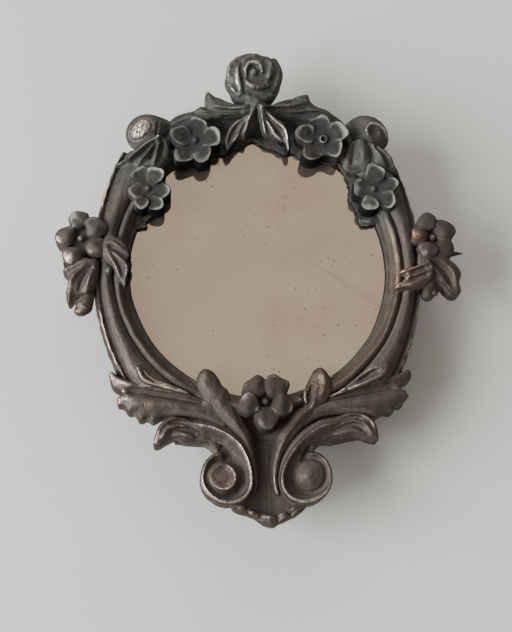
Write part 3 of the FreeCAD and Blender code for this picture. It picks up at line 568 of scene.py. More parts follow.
def make_side_sprays():
    """On each side a serrated leaf under the flower, a bud, and a leaf across the mouldings."""
    make_leaf("side_leaf_cast_left", [(-17.6, 1.0), (-18.4, 1.3), (-19.7, 1.5), (-20.8, 2.0), (-21.6, 2.3),
            (-21.2, 1.6), (-21.5, 1.0), (-21.0, 0.6), (-21.5, 0.0), (-21.1, -0.6), (-21.0, -1.6),
            (-21.2, -2.5), (-20.9, -3.7), (-20.2, -3.2), (-19.3, -3.0), (-18.6, -2.8), (-17.9, -1.8),
            (-17.5, 0.0)], ribs=[[(-18.0, 0.6), (-19.4, 0.0), (-20.5, -1.2), (-20.8, -3.0)], [(-17.9, 0.4),
            (-18.5, -0.9), (-18.9, -2.5)], [(-18.4, 0.9), (-19.9, 1.0), (-21.2, 1.7)], [(-18.0, 0.9),
            (-20.0, 0.4), (-21.0, 0.1)]], top=4.4, bottom=1.0, rise=0.8, width=0.9, rib=(0.38, 0.3),
            grooves=[[(-18.3, 0.0), (-19.3, -1.2), (-19.8, -2.6)], [(-18.4, 1.1), (-20.0, 0.9),
            (-21.0, 0.8)]], groove=(0.25, 0.2), tilt=((-17.8, 0.6), (-20.8, -3.4), 0.2, -0.3),
            edge_lift=0.15, seed=13)
    make_leaf("rail_leaf_cast_left", [(-17.0, 3.4), (-16.2, 3.9), (-15.2, 3.4), (-14.4, 2.6), (-14.0, 1.4),
            (-14.35, 0.9), (-14.0, 0.3), (-14.2, -0.7), (-14.6, -2.1), (-15.2, -1.6), (-15.7, -0.8),
            (-16.1, 0.2), (-16.8, 0.8), (-17.3, 1.8)], ribs=[[(-16.7, 2.9), (-15.8, 2.7), (-14.5, 1.7)],
            [(-16.7, 2.4), (-15.6, 1.4), (-14.5, 0.1), (-14.6, -1.5)], [(-16.7, 2.0), (-15.9, 0.6),
            (-15.3, -0.8)]], top=4.7, bottom=3.4, rise=0.5, width=0.6, rib=(0.36, 0.28),
            grooves=[[(-16.3, 2.2), (-15.2, 1.6), (-14.4, 1.0)]], groove=(0.22, 0.16), tilt=None,
            edge_lift=0.10, seed=14)
    clay = sculpt("side_bud_cast_left", (-20.9, -17.6), (-5.6, -2.2), (1.0, 4.8))
    stroke(clay, [(-18.8, -2.9, 3.2, 0.75), (-19.2, -3.9, 3.2, 0.98)], 0.1)
    clay.add(clay.ball((-19.5, -4.5, 3.4), (0.8, 0.62, 0.66)), 0.08)
    score(clay, [(-20.1, -4.1, 4.0, 0.14), (-19.3, -3.9, 4.3, 0.14), (-18.5, -4.3, 4.0, 0.14)])
    bead = sculpt("rail_bead_left", (-17.4, -15.6), (-1.3, 0.9), (2.4, 5.5))
    bead.add(bead.ball((-16.45, -0.2, 4.2), (0.42, 0.5, 0.5)), 0.05)
    make_leaf("side_leaf_cast_right", [(18.0, 1.9), (19.4, 2.6), (20.9, 1.8), (21.2, 0.9), (22.1, 0.1),
            (22.6, -0.8), (22.35, -1.9), (22.5, -2.8), (21.9, -3.4), (21.1, -3.1), (20.5, -2.4),
            (19.8, -2.1), (19.4, -2.6), (18.4, -2.7), (17.8, -1.6), (17.6, 0.2)], ribs=[[(18.6, 0.8),
            (20.4, 0.3), (21.6, -0.9), (22.0, -2.8)], [(18.4, 0.2), (19.8, -0.9), (20.9, -2.6)],
            [(18.2, -0.3), (19.0, -1.4), (19.0, -2.4)]], top=4.3, bottom=1.0, rise=0.8, width=0.9,
            rib=(0.38, 0.32), grooves=[[(18.9, 0.2), (20.6, -0.8), (21.5, -2.6)], [(18.5, -0.4),
            (19.6, -1.7)]], groove=(0.25, 0.2), tilt=((18.0, 0.6), (22.0, -3.0), 0.2, -0.4), edge_lift=0.15,
            seed=15)
    make_leaf("rail_leaf_cast_right", [(18.7, 0.6), (17.9, 0.1), (16.9, -0.35), (15.9, -0.55),
            (15.5, -1.05), (16.15, -1.35), (15.75, -1.9), (15.1, -2.3), (14.85, -2.75), (15.7, -2.95),
            (17.1, -2.8), (18.4, -2.4), (19.2, -1.4), (19.3, -0.2)], ribs=[[(18.6, -0.1), (17.0, -0.65),
            (15.7, -0.95)], [(18.6, -0.9), (16.9, -1.5), (15.9, -1.6), (15.1, -2.6)], [(18.6, -1.5),
            (17.2, -2.2), (15.8, -2.65)]], top=5.0, bottom=3.4, rise=0.5, width=0.5, rib=(0.30, 0.26),
            grooves=[[(18.2, -0.5), (16.8, -1.05)], [(18.4, -1.3), (16.6, -2.0)]], groove=(0.2, 0.18),
            tilt=None, edge_lift=0.14, seed=16)
    clay = sculpt("side_bud_cast_right", (17.6, 20.4), (-4.8, -1.6), (1.0, 4.8))
    stroke(clay, [(18.9, -2.3, 3.2, 0.65), (18.7, -3.1, 2.9, 0.75)], 0.1)
    clay.add(clay.ball((19.45, -2.9, 3.2), (0.45, 0.45, 0.45)), 0.08)


# foot of the frame --------------------------------------------------------------------------------

def make_base_volute(side):
    """C-scroll: a cove-shaped band that coils round a button and ends in a fluted leaf."""
    clay = sculpt("base_scroll_" + NAMES[side], sorted((side * 0.2, side * 12.9)), (-27.0, -15.6),
            (0.3, 5.6))
    if side > 0:
        ridge = [(10.2, -16.9), (8.6, -17.2), (7.4, -17.45), (6.2, -17.8), (4.9, -18.55), (3.7, -19.6),
                (2.7, -20.9), (2.05, -22.2), (1.8, -23.5), (2.05, -24.6), (2.8, -25.5), (4.0, -25.85),
                (5.3, -25.6), (6.3, -24.9), (6.9, -23.9), (7.0, -22.7), (6.6, -21.6), (5.9, -20.9),
                (5.1, -20.7)]
        boss = (4.95, -23.0)
        web = [(5.3, -19.7), (4.4, -19.0), (3.0, -20.2), (2.6, -22.4), (3.6, -22.2), (4.9, -21.4),
                (5.4, -20.8)]
        gap_start = 1.8
    else:
        ridge = [(-9.4, -17.0), (-8.0, -17.15), (-6.6, -17.4), (-4.9, -17.9), (-3.4, -18.8), (-2.3, -20.0),
                (-1.65, -21.6), (-1.4, -23.1), (-1.6, -24.4), (-2.3, -25.3), (-3.4, -25.7), (-4.7, -25.6),
                (-5.8, -24.9), (-6.5, -23.9), (-6.6, -22.8), (-6.2, -21.6), (-5.5, -20.8), (-4.7, -20.6)]
        boss = (-4.45, -23.1)
        web = [(-4.9, -19.6), (-4.0, -18.9), (-2.8, -20.4), (-2.2, -22.4), (-3.2, -22.2), (-4.4, -21.4),
                (-5.0, -20.7)]
        gap_start = -4.2
    near, share, offset = clay.track(smooth(ridge, steps=6))
    inward = side * offset
    coil = ease(share, 0.30, 0.52)
    wide_in = mix(2.0, 1.5, coil)
    wide_out = mix(0.8, 0.32, coil)
    wall = np.interp(inward, [-1.2, -0.7, -0.35, 0.0, 0.4, 0.8, 1.2, 1.6, 2.0, 2.4],
                     [2.9, 3.3, 3.8, 4.4, 4.1, 3.6, 3.25, 3.0, 2.85, 2.8])
    curl = np.interp(inward, [-1.2, -0.4, -0.2, 0.0, 0.25, 0.55, 0.85, 1.3, 2.4],
                     [2.4, 3.2, 3.8, 4.2, 3.95, 3.4, 3.0, 2.8, 2.7])
    top = mix(wall, curl, coil) - 0.3 * ease(share, 0.75, 1.0) - 0.9 * (1 - ease(share, 0.0, 0.16))
    depth = np.minimum(wide_in - inward, wide_out + inward)
    ends = np.where((share < 0.001) | (share > 0.999), 0.6 - near, depth)
    clay.slab(np.minimum(depth, ends), top, CAST_BACK_Z, 0.16)
    clay.slab(clay.inside(smooth(web, True, 5)), 2.85, CAST_BACK_Z, 0.2, 0.3)
    r = clay.radius(boss)
    clay.slab(2.2 - r, 2.75, CAST_BACK_Z, 0.15, 0.2)
    heights = [4.3, 4.2, 4.0, 3.8, 3.5, 2.9, 2.5] if side > 0 else [4.05, 4.0, 4.05, 4.2, 4.0, 3.3, 2.6]
    button = np.interp(r, [0.0, 0.7, 1.1, 1.35, 1.55, 1.8, 2.0], heights)
    clay.slab(2.0 - r, button + 0.05 * waves(clay.x, clay.y, 1.6, 17), CAST_BACK_Z, 0.1, 0.2)
    gap = []
    for step in np.linspace(0, 1, 9):
        angle = gap_start + 3.6 * step
        gap.append((boss[0] + 1.9 * math.cos(angle), boss[1] + 1.9 * math.sin(angle), 3.95,
                    0.08 + 0.13 * math.sin(math.pi * step)))
    score(clay, gap, 0.25)
    add_scroll_leaf(clay, side)
    clay.d = (clay.d + 0.025 * waves(clay.x, clay.y, 1.3, 18 + side)[:, :, None]).astype(np.float32)


def add_scroll_leaf(clay, side):
    """Fluted leaf at the scroll's outer end, its tip curled over."""
    if side > 0:
        outline = [(5.2, -20.3), (4.4, -19.2), (5.4, -18.2), (7.2, -17.1), (8.6, -16.4), (10.0, -16.2),
                (11.5, -16.7), (12.3, -17.8), (12.5, -19.2), (12.0, -19.4), (10.8, -19.0), (9.7, -18.7),
                (8.8, -19.0), (7.4, -19.05), (6.2, -19.5)]
        ribs = [[(6.2, -17.7), (8.2, -16.8), (10.2, -16.5), (11.7, -17.2), (12.3, -18.6)], [(7.4, -17.95),
                (9.4, -17.3), (10.9, -17.6), (11.7, -18.7)], [(8.0, -18.6), (9.6, -18.15), (10.8, -18.7)]]
        grooves = [[(7.0, -17.75), (9.0, -17.0), (10.9, -17.05)], [(7.8, -18.2), (9.6, -17.7),
                (11.0, -18.2)]]
        root, tip = (5.2, -19.0), (12.3, -18.6)
    else:
        outline = [(-5.0, -20.5), (-4.4, -19.3), (-5.6, -18.2), (-7.0, -17.2), (-8.4, -16.5), (-9.8, -16.3),
                (-11.0, -17.0), (-11.5, -17.9), (-11.9, -19.3), (-11.3, -19.55), (-10.4, -19.1),
                (-9.5, -18.7), (-8.6, -19.15), (-6.9, -19.25), (-5.9, -19.6)]
        ribs = [[(-6.6, -17.3), (-8.4, -16.75), (-10.0, -16.75), (-11.1, -17.7), (-11.6, -19.0)],
                [(-7.2, -17.95), (-9.0, -17.45), (-10.3, -17.8), (-10.8, -18.6)], [(-7.6, -18.55),
                (-9.0, -18.25), (-9.8, -18.6)]]
        grooves = [[(-7.0, -17.65), (-8.8, -17.1), (-10.2, -17.25)], [(-7.4, -18.25), (-9.0, -17.85),
                (-10.2, -18.2)]]
        root, tip = (-5.2, -19.0), (-11.6, -18.4)
    shape_leaf(clay, smooth(outline, True, 5), ribs=ribs, top=3.8, bottom=CAST_BACK_Z, rise=0.8, width=0.9,
            rib=(0.32, 0.24), grooves=grooves, groove=(0.28, 0.2), tilt=(root, tip, -0.5, 0.2),
            edge_lift=0.06, seed=19)


def make_acanthus(side):
    """Corner leaf of two folds: a narrow upper one and a broad smooth one with a frayed end."""
    if side > 0:
        outline = [(4.2, -15.0), (6.4, -14.5), (9.0, -13.6), (12.0, -12.9), (13.8, -12.4), (15.4, -11.8),
                (16.2, -11.5), (16.5, -12.2), (16.1, -12.9), (15.1, -13.4), (15.7, -13.9), (16.0, -14.6),
                (15.4, -15.0), (15.3, -15.5), (14.6, -15.7), (14.1, -16.3), (13.2, -16.3), (12.2, -16.8),
                (10.4, -16.5), (8.0, -16.4), (6.0, -16.8), (4.0, -17.8)]
        ribs = [[(5.0, -15.0, 0.45, 0.42), (9.4, -13.9), (13.0, -12.9), (16.2, -11.8)],
                [(6.0, -16.0, 0.55, 0.95), (10.0, -15.4), (13.2, -15.0), (15.6, -14.6)]]
        grooves = [[(6.4, -15.0, 0.5, 0.3), (10.0, -14.3), (13.4, -13.7), (15.4, -13.4)]]
        tilt = ((5.0, -15.8), (16.0, -13.6), 0.0, -0.3)
    else:
        outline = [(-4.2, -15.2), (-6.4, -14.6), (-8.6, -13.6), (-10.8, -13.1), (-13.2, -12.6),
                (-15.2, -11.9), (-16.4, -11.1), (-16.5, -12.0), (-16.2, -12.9), (-15.7, -13.3),
                (-15.2, -13.6), (-15.7, -14.2), (-15.6, -14.9), (-14.9, -15.2), (-14.5, -15.8),
                (-13.8, -15.9), (-13.2, -16.7), (-12.4, -16.5), (-11.8, -16.9), (-10.6, -16.3),
                (-8.4, -16.4), (-6.2, -16.8), (-4.0, -17.8)]
        ribs = [[(-5.4, -15.0, 0.6, 0.55), (-8.8, -13.9), (-12.0, -13.1), (-14.6, -12.6), (-16.5, -11.8)],
                [(-6.0, -16.0, 0.55, 0.95), (-9.6, -15.2), (-12.6, -14.8), (-15.2, -14.4)]]
        grooves = [[(-6.6, -15.1, 0.5, 0.3), (-9.6, -14.4), (-12.8, -13.8), (-15.2, -13.5)]]
        tilt = ((-5.0, -15.8), (-16.0, -13.6), 0.0, -0.2)
    clay = make_leaf("acanthus_cast_" + NAMES[side], outline, ribs=ribs, top=3.8, bottom=CAST_BACK_Z,
            rise=0.8, width=1.0, rib=(0.5, 0.4), grooves=grooves, groove=(0.5, 0.3), tilt=tilt,
            edge_lift=0.08, seed=20 + side)
    fray = ease(np.abs(clay.x) - 0.9 * (clay.y + 15.0), 14.4, 16.0)
    clay.d = (clay.d + 0.07 * (fray * waves(clay.x, clay.y, 0.6, 44 + side))[:, :, None]).astype(np.float32)


def make_corner_leaf(side):
    """Right: a small spoon-shaped leaf with a raised edge. Left: a narrow one with a sharp outer edge."""
    if side > 0:
        outline = [(7.3, -14.7), (8.4, -13.9), (9.5, -13.1), (10.8, -12.1), (12.2, -11.3), (13.6, -11.0),
                (13.9, -11.5), (13.4, -12.5), (11.8, -13.3), (9.6, -14.1)]
        make_leaf("corner_leaf_cast_right", outline, ribs=[], top=4.7, bottom=1.8, rise=0.5, width=0.6,
                rib=(0.45, 0.22), grooves=[[(9.2, -13.7, 0.3, 0.35), (11.2, -12.6), (13.0, -11.7)],
                [(11.0, -12.7, 0.25, 0.5), (12.6, -11.9)]], groove=(0.45, 0.3), tilt=None, edge_lift=0.1,
                seed=25)
    else:
        outline = [(-7.6, -14.3), (-8.8, -13.4), (-10.8, -12.7), (-12.0, -12.0), (-12.6, -11.2),
                (-13.3, -10.8), (-13.7, -11.3), (-12.9, -12.8), (-11.0, -13.4), (-9.2, -14.0)]
        make_leaf("corner_leaf_cast_left", outline, ribs=[[(-8.2, -14.1, 0.3, 0.2), (-10.8, -13.3),
                (-12.7, -12.6), (-13.4, -11.2)]], top=4.7, bottom=1.8, rise=0.6, width=0.7, rib=(0.4, 0.2),
                grooves=[[(-9.4, -13.6, 0.3, 0.2), (-11.4, -12.9), (-12.6, -12.0), (-13.0, -11.3)]],
                groove=(0.45, 0.3), tilt=None, edge_lift=0.05, seed=23)


def make_upright_leaf(side):
    """Leaf that stands up from the foot, round-tipped and folded, on a long stem."""
    if side > 0:
        outline = [(6.4, -11.3), (7.1, -11.9), (7.6, -12.9), (7.6, -14.0), (7.0, -15.0), (6.0, -16.1),
                (4.6, -17.5), (3.2, -19.2), (2.0, -21.0), (1.5, -23.2), (1.7, -25.0), (1.0, -24.8),
                (0.6, -22.6), (0.9, -20.6), (1.6, -18.6), (2.7, -16.9), (3.7, -15.8), (4.3, -15.5),
                (4.1, -14.6), (4.2, -13.9), (4.7, -13.5), (5.1, -12.6), (5.6, -11.7)]
        ribs = [[(1.1, -23.6, 0.25, 0.4), (1.9, -19.8), (3.6, -17.2), (5.4, -15.2), (6.6, -13.6),
                (6.6, -12.0)], [(4.5, -14.0, 0.45, 0.25), (4.5, -15.0), (5.0, -15.7)]]
        grooves = [[(4.9, -15.6, 0.4, 0.28), (5.2, -14.3), (5.4, -13.2)], [(5.9, -15.0, 0.15, 0.3),
                (6.2, -13.6)]]
    else:
        outline = [(-6.4, -11.3), (-7.0, -12.1), (-7.1, -13.2), (-6.5, -14.5), (-5.7, -15.6), (-4.2, -17.3),
                (-2.8, -19.0), (-1.8, -21.0), (-1.3, -23.2), (-1.4, -24.8), (-0.8, -24.6), (-0.5, -22.6),
                (-0.8, -20.6), (-1.3, -18.4), (-2.2, -16.6), (-2.9, -15.2), (-3.4, -14.5), (-3.7, -13.6),
                (-4.3, -13.1), (-4.7, -12.3), (-5.4, -11.5)]
        ribs = [[(-1.0, -23.6, 0.25, 0.6), (-1.7, -19.6), (-3.2, -17.0), (-5.0, -14.4), (-5.9, -13.0),
                (-6.2, -12.0)]]
        grooves = [[(-2.6, -16.9, 0.18, 0.2), (-3.2, -15.5), (-3.7, -14.5)]]
    make_leaf("upright_leaf_cast_" + NAMES[side], outline, ribs=ribs, top=4.1, bottom=1.2, rise=0.9,
            width=1.0, rib=(0.4, 0.4), grooves=grooves, groove=(0.3, 0.25), tilt=((side * 1.2, -23.0),
            (side * 6.4, -11.8), -0.7, 0.5), edge_lift=0.05, seed=28 + side)


def make_stem():
    """Smooth valley between the scrolls."""
    clay = sculpt("stem_cast", (-5.6, 5.6), (-27.4, -14.4), (0.3, 4.6))
    outline = smooth([(-4.6, -15.2), (-4.4, -17.0), (-2.6, -19.6), (-2.2, -22.0), (-2.6, -25.0),
            (-3.6, -26.0), (-2.6, -26.8), (0.4, -27.2), (3.6, -26.8), (4.4, -26.0), (3.0, -25.0),
            (2.4, -22.0), (2.8, -19.6), (4.8, -17.0), (4.8, -15.0)], True, 5)
    depth = np.minimum(clay.inside(outline), clay.radius((0, 0)) - RIM_R + 0.15)
    valley = clay.x - 0.15 + 0.03 * (clay.y + 20)
    level = 2.35 + 0.30 * np.abs(valley) + 0.18 * bump(valley, 0.5) * ease(-clay.y, 17.0, 20.0)
    level = np.minimum(level, 3.2) - 0.2 * bump(clay.y + 26.0, 1.0)
    clay.slab(depth, level, CAST_BACK_Z, 0.15)


def make_shell():
    """Ruffled frill at the very foot."""
    outline = [(-3.6, -25.9), (-2.9, -26.6), (-1.9, -27.0), (-1.0, -27.4), (-0.2, -28.0), (0.8, -28.3),
            (1.6, -27.9), (2.6, -27.5), (3.6, -27.0), (4.3, -26.3), (3.2, -26.1), (2.2, -26.6),
            (0.4, -27.0), (-1.4, -26.5), (-2.4, -25.9)]
    ribs = [[(-2.4, -26.1, 0.1, 0.25), (-2.8, -26.6)], [(-1.2, -26.6, 0.14, 0.3), (-1.6, -27.2)],
            [(0.4, -26.9, 0.16, 0.45), (0.5, -28.0)], [(1.8, -26.6, 0.12, 0.3), (2.2, -27.7)],
            [(2.8, -26.3, 0.1, 0.3), (3.5, -26.9)]]
    grooves = [[(-1.8, -26.3, 0.2, 0.2), (-2.1, -26.9)], [(-0.4, -26.8, 0.22, 0.22), (-0.6, -27.6)],
            [(1.2, -26.8, 0.22, 0.22), (1.4, -27.9)], [(2.4, -26.5, 0.2, 0.2), (2.8, -27.3)]]
    make_leaf("shell_cast", outline, ribs=ribs, top=3.05, bottom=CAST_BACK_Z, rise=0.25, width=0.45,
            rib=(0.4, 0.24), grooves=grooves, groove=(0.35, 0.2), tilt=((0.3, -26.0), (0.3, -28.0), 0.0,
            -0.3), edge_lift=0.12, z=(0.3, 4.6), seed=33)


def make_castings():
    make_rim()
    for side in (-1, 1):
        make_side_rail(side)
        make_base_volute(side)
        make_acanthus(side)
        make_corner_leaf(side)
        make_upright_leaf(side)
        make_shoulder_ground(side)
    make_crest_ground()
    make_flowers()
    make_rose()
    make_crest_leaves()
    make_pendant_leaves()
    make_shoulders()
    make_side_sprays()
    make_stem()
    make_shell()


# which CAD node each sculpted piece stands for
STANDS_FOR = {"rim_cast": ["rim"], "crest_ground": ["crest_band"], "rose_cast": ["crest_rose"],
              "base_bloom": ["base_flower"], "stem_cast": ["base_stem"], "shell_cast": ["base_shell"]}
PAIRS = {"crest_bloom_": "crest_flower_", "shoulder_bloom_": "shoulder_flower_",
        "side_bloom_": "side_flower_", "side_rail_cast_": "side_rail_", "base_scroll_": "base_volute_",
        "acanthus_cast_": "base_acanthus_", "corner_leaf_cast_": "corner_leaf_",
        "upright_leaf_cast_": "base_upright_leaf_", "crest_leaf_cast_": "crest_leaf_",
        "pendant_leaf_cast_": "pendant_leaf_", "shoulder_leaf_cast_": "shoulder_leaf_",
        "shoulder_roll_": "shoulder_volute_", "side_leaf_cast_": "side_leaf_",
        "rail_leaf_cast_": "rail_leaf_", "side_bud_cast_": "side_bud_"}
for cast, node in PAIRS.items():
    for word in NAMES.values():
        STANDS_FOR[cast + word] = [node + word]


# patina and painted shade: how sheltered each point is, from the distance field of all castings together
# ----------

SHELTER_STEP = 2


def whole_field():
    """The smallest distance to any casting, on every second point of the shared lattice."""
    low = np.min([clay.start for clay in pieces.values()], axis=0) // SHELTER_STEP - 1
    high = np.max([np.add(clay.start, clay.d.shape) for clay in pieces.values()],
            axis=0) // SHELTER_STEP + 2
    field = np.full(high - low, 2.5, np.float32)
    for clay in pieces.values():
        first = [-s % SHELTER_STEP for s in clay.start]
        part = clay.d[first[0]::SHELTER_STEP, first[1]::SHELTER_STEP, first[2]::SHELTER_STEP]
        at = [(start + skip) // SHELTER_STEP - edge for start, skip, edge in zip(clay.start, first, low)]
        view = field[tuple(slice(begin, begin + size) for begin, size in zip(at, part.shape))]
        np.minimum(view, part, out=view)
    return field, low


def sample(field, low, points):
    """The field's value at points in millimetres, blended between neighbours."""
    p = points / (VOXEL * SHELTER_STEP) - low
    p = np.clip(p, 0, np.array(field.shape) - 1.001)
    i = p.astype(int)
    f = (p - i).astype(np.float32)
    total = np.zeros(len(p), np.float32)
    share = (1 - f, f)
    for dx, dy, dz in np.ndindex(2, 2, 2):
        weight = share[dx][:, 0] * share[dy][:, 1] * share[dz][:, 2]
        total += weight * field[i[:, 0] + dx, i[:, 1] + dy, i[:, 2] + dz]
    return total


def patina_and_shade_of(points, normals, field, low):
    """0 on an open ridge, about 0.5 on a flat, 1 in a crevice.

    Walls and the rim's inner lip get painted shade on top, counted as more hidden.
    """
    hidden = np.zeros(len(points), np.float32)
    for reach, weight in ((0.3, 0.3), (0.6, 0.3), (1.1, 0.25), (1.8, 0.15)):
        ahead = sample(field, low, points + normals * reach)
        behind = sample(field, low, points - normals * min(reach, 0.5))
        hidden += weight * (1 - np.clip(ahead / reach, 0, 1))
        hidden += 0.5 * weight * np.clip(-behind / min(reach, 0.5), 0, 1)
    # painted shade: walls that face sideways come out darker
    hidden += 0.25 * (1 - np.clip(normals[:, 2], 0, 1))
    # painted shade on the rim's inner lip beside the mirror
    hidden += 0.45 * bump(np.hypot(points[:, 0], points[:, 1]) - 14.45, 0.5) * (points[:, 2] < 3.6)
    return np.clip(hidden, 0, 1)


def painted_shade_of(points, normals):
    """How black a wall is painted, as shade, for hanging over the mirror."""
    from_middle = np.hypot(points[:, 0], points[:, 1])
    return 1.6 * (1 - np.clip(normals[:, 2], 0, 1)) * ease(15.2 - from_middle, 0.0, 0.8) * (points[:,
            1] > -12.0)


# places painted brighter as highlights, some also rubbed bright (or, below zero, painted darker as shade),
# than their shape alone makes them: x, y, reach, amount
HIGHLIGHT_AND_RUBBED_SPOTS = [(-12.85, 16.2, 1.35, 0.28), (-17.4, 9.2, 1.6, 0.30), (-15.3, -14.8, 1.3, 0.30),
        (-15.4, -12.2, 1.8, 0.30), (-11.0, -13.2, 1.2, 0.12), (-6.6, -24.0, 1.1, 0.42),
        (-11.5, -18.8, 0.9, 0.30), (15.6, 3.0, 0.7, 0.25), (15.7, 0.8, 0.6, 0.2), (12.3, 7.2, 0.9, 0.2),
        (3.2, 15.2, 1.4, 0.14), (-18.2, -5.2, 1.5, 0.25), (-17.6, -8.4, 1.5, 0.25), (15.3, -1.8, 1.0, 0.2),
        (-1.9, 21.6, 0.9, 0.25), (-2.5, 23.2, 1.0, 0.15), (-21.2, 0.6, 0.9, 0.25), (-21.0, -2.0, 0.8, 0.25),
        (11.1, 8.8, 0.5, 0.3), (12.5, 6.3, 0.6, 0.3), (11.4, 10.8, 0.6, 0.3), (-6.6, 12.3, 0.9, 0.15),
        (-8.9, 12.6, 0.7, 0.15), (10.0, 15.3, 0.8, 0.2), (-20.9, 1.1, 0.6, 0.3), (-18.3, 1.6, 0.6, 0.3),
        (-22.0, 3.3, 0.5, 0.3), (-20.3, 6.2, 0.5, 0.3), (17.3, 3.5, 0.5, 0.35), (18.3, 1.2, 0.5, 0.3),
        (-2.3, -14.8, 0.6, 0.3), (-0.4, -17.5, 0.6, 0.2), (6.9, -23.0, 1.3, -0.15), (6.7, -12.6, 0.9, 0.22),
        (4.5, -14.6, 0.8, 0.28), (5.4, -15.9, 0.6, 0.2), (-6.0, -12.4, 1.0, 0.12)]
# pieces painted darker than the rest, as shade
PAINTED_SHADE_PIECES = {"crest_bloom_left": 0.62, "crest_bloom_right": 0.58, "shoulder_bloom_left": 0.5,
        "shoulder_bloom_right": 0.52, "base_bloom": 0.5, "side_bloom_right": 0.45, "side_bloom_left": 0.25,
        "stem_cast": 0.4, "crest_ground": 0.2, "shoulder_ground_left": 0.4, "shoulder_ground_right": 0.3}
# places where the metal shows through reddish
BLUSHED = [(17.9, 3.4, 1.0, 0.9), (-12.85, 16.2, 1.3, 0.35), (6.1, 13.0, 0.9, 0.4),
        (-0.9, -13.4, 1.2, 0.35), (-12.9, 9.0, 1.0, 0.35), (2.6, 16.0, 1.0, 0.35), (16.6, -1.6, 1.6, 0.25),
        (-17.4, 8.6, 1.6, 0.2), (5.6, -13.2, 1.4, 0.2)]


def spots(points, places):
    """Sum of soft round spots at the points."""
    total = np.zeros(len(points), np.float32)
    for x, y, reach, amount in places:
        away = (points[:, 0] - x) ** 2 + (points[:, 1] - y) ** 2
        total += amount * np.exp(-away / reach ** 2)
    return total


def to_object(name, points, quads):
    mesh = bpy.data.meshes.new(name)
    mesh.vertices.add(len(points))
    mesh.vertices.foreach_set("co", (points * MM).astype(np.float32).ravel())
    mesh.loops.add(quads.size)
    mesh.loops.foreach_set("vertex_index", quads.astype(np.int32).ravel())
    mesh.polygons.add(len(quads))
    mesh.polygons.foreach_set("loop_start", np.arange(0, quads.size, 4, dtype=np.int32))
    mesh.update()
    mesh.shade_smooth()
    piece = bpy.data.objects.new(name, mesh)
    bpy.context.scene.collection.objects.link(piece)
    return piece


def relax(points, quads, rounds=2, pull=0.45):
    """Evens out the voxel steps by moving each vertex towards its neighbours and part of the way back."""
    a = quads.ravel()
    b = np.roll(quads, -1, axis=1).ravel()
    count = np.bincount(a, minlength=len(points)) + np.bincount(b, minlength=len(points))
    for turn in range(2 * rounds):
        mean = np.zeros_like(points)
        for axis in range(3):
            along = np.bincount(a, points[b, axis], len(points))
            against = np.bincount(b, points[a, axis], len(points))
            mean[:, axis] = (along + against) / count
        points = points + (pull if turn % 2 == 0 else -pull - 0.03) * (mean - points)
    return points


def build_castings(material):
    field, low = whole_field()
    for name, clay in pieces.items():
        points, quads = clay.surface()
        points = relax(points, quads)
        piece = to_object(name, points, quads)
        normals = np.zeros(len(points) * 3, np.float32)
        piece.data.vertices.foreach_get("normal", normals)
        # painted highlights, and painted shade where a spot's amount is below zero, come off the patina level
        patina_and_painted_light = patina_and_shade_of(points, normals.reshape(-1, 3), field, low) - spots(points, HIGHLIGHT_AND_RUBBED_SPOTS)
        # painted shade: walls over the mirror and the pieces painted darker
        for label, values in (("patina_and_painted_light", patina_and_painted_light), ("blush", spots(points, BLUSHED)), ("painted_shade",
                painted_shade_of(points, normals.reshape(-1, 3)) + PAINTED_SHADE_PIECES.get(name, 0.0))):
            layer = piece.data.attributes.new(label, "FLOAT", "POINT")
            layer.data.foreach_set("value", np.clip(values, 0, 1).astype(np.float32))
        piece.data.materials.append(material)
        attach(piece, "frame")
        if name in STANDS_FOR:
            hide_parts(*STANDS_FOR[name])


# materials ------------------------------------------------------------------------------------------

# colour by the patina level with painted shade and painted highlights added in, from rubbed ridges to
# crevices
SILVER_TONES = [(0.16, (0.56, 0.505, 0.45)), (0.30, (0.24, 0.212, 0.19)), (0.43, (0.098, 0.086, 0.078)),
        (0.70, (0.068, 0.061, 0.056)), (0.95, (0.092, 0.084, 0.078))]


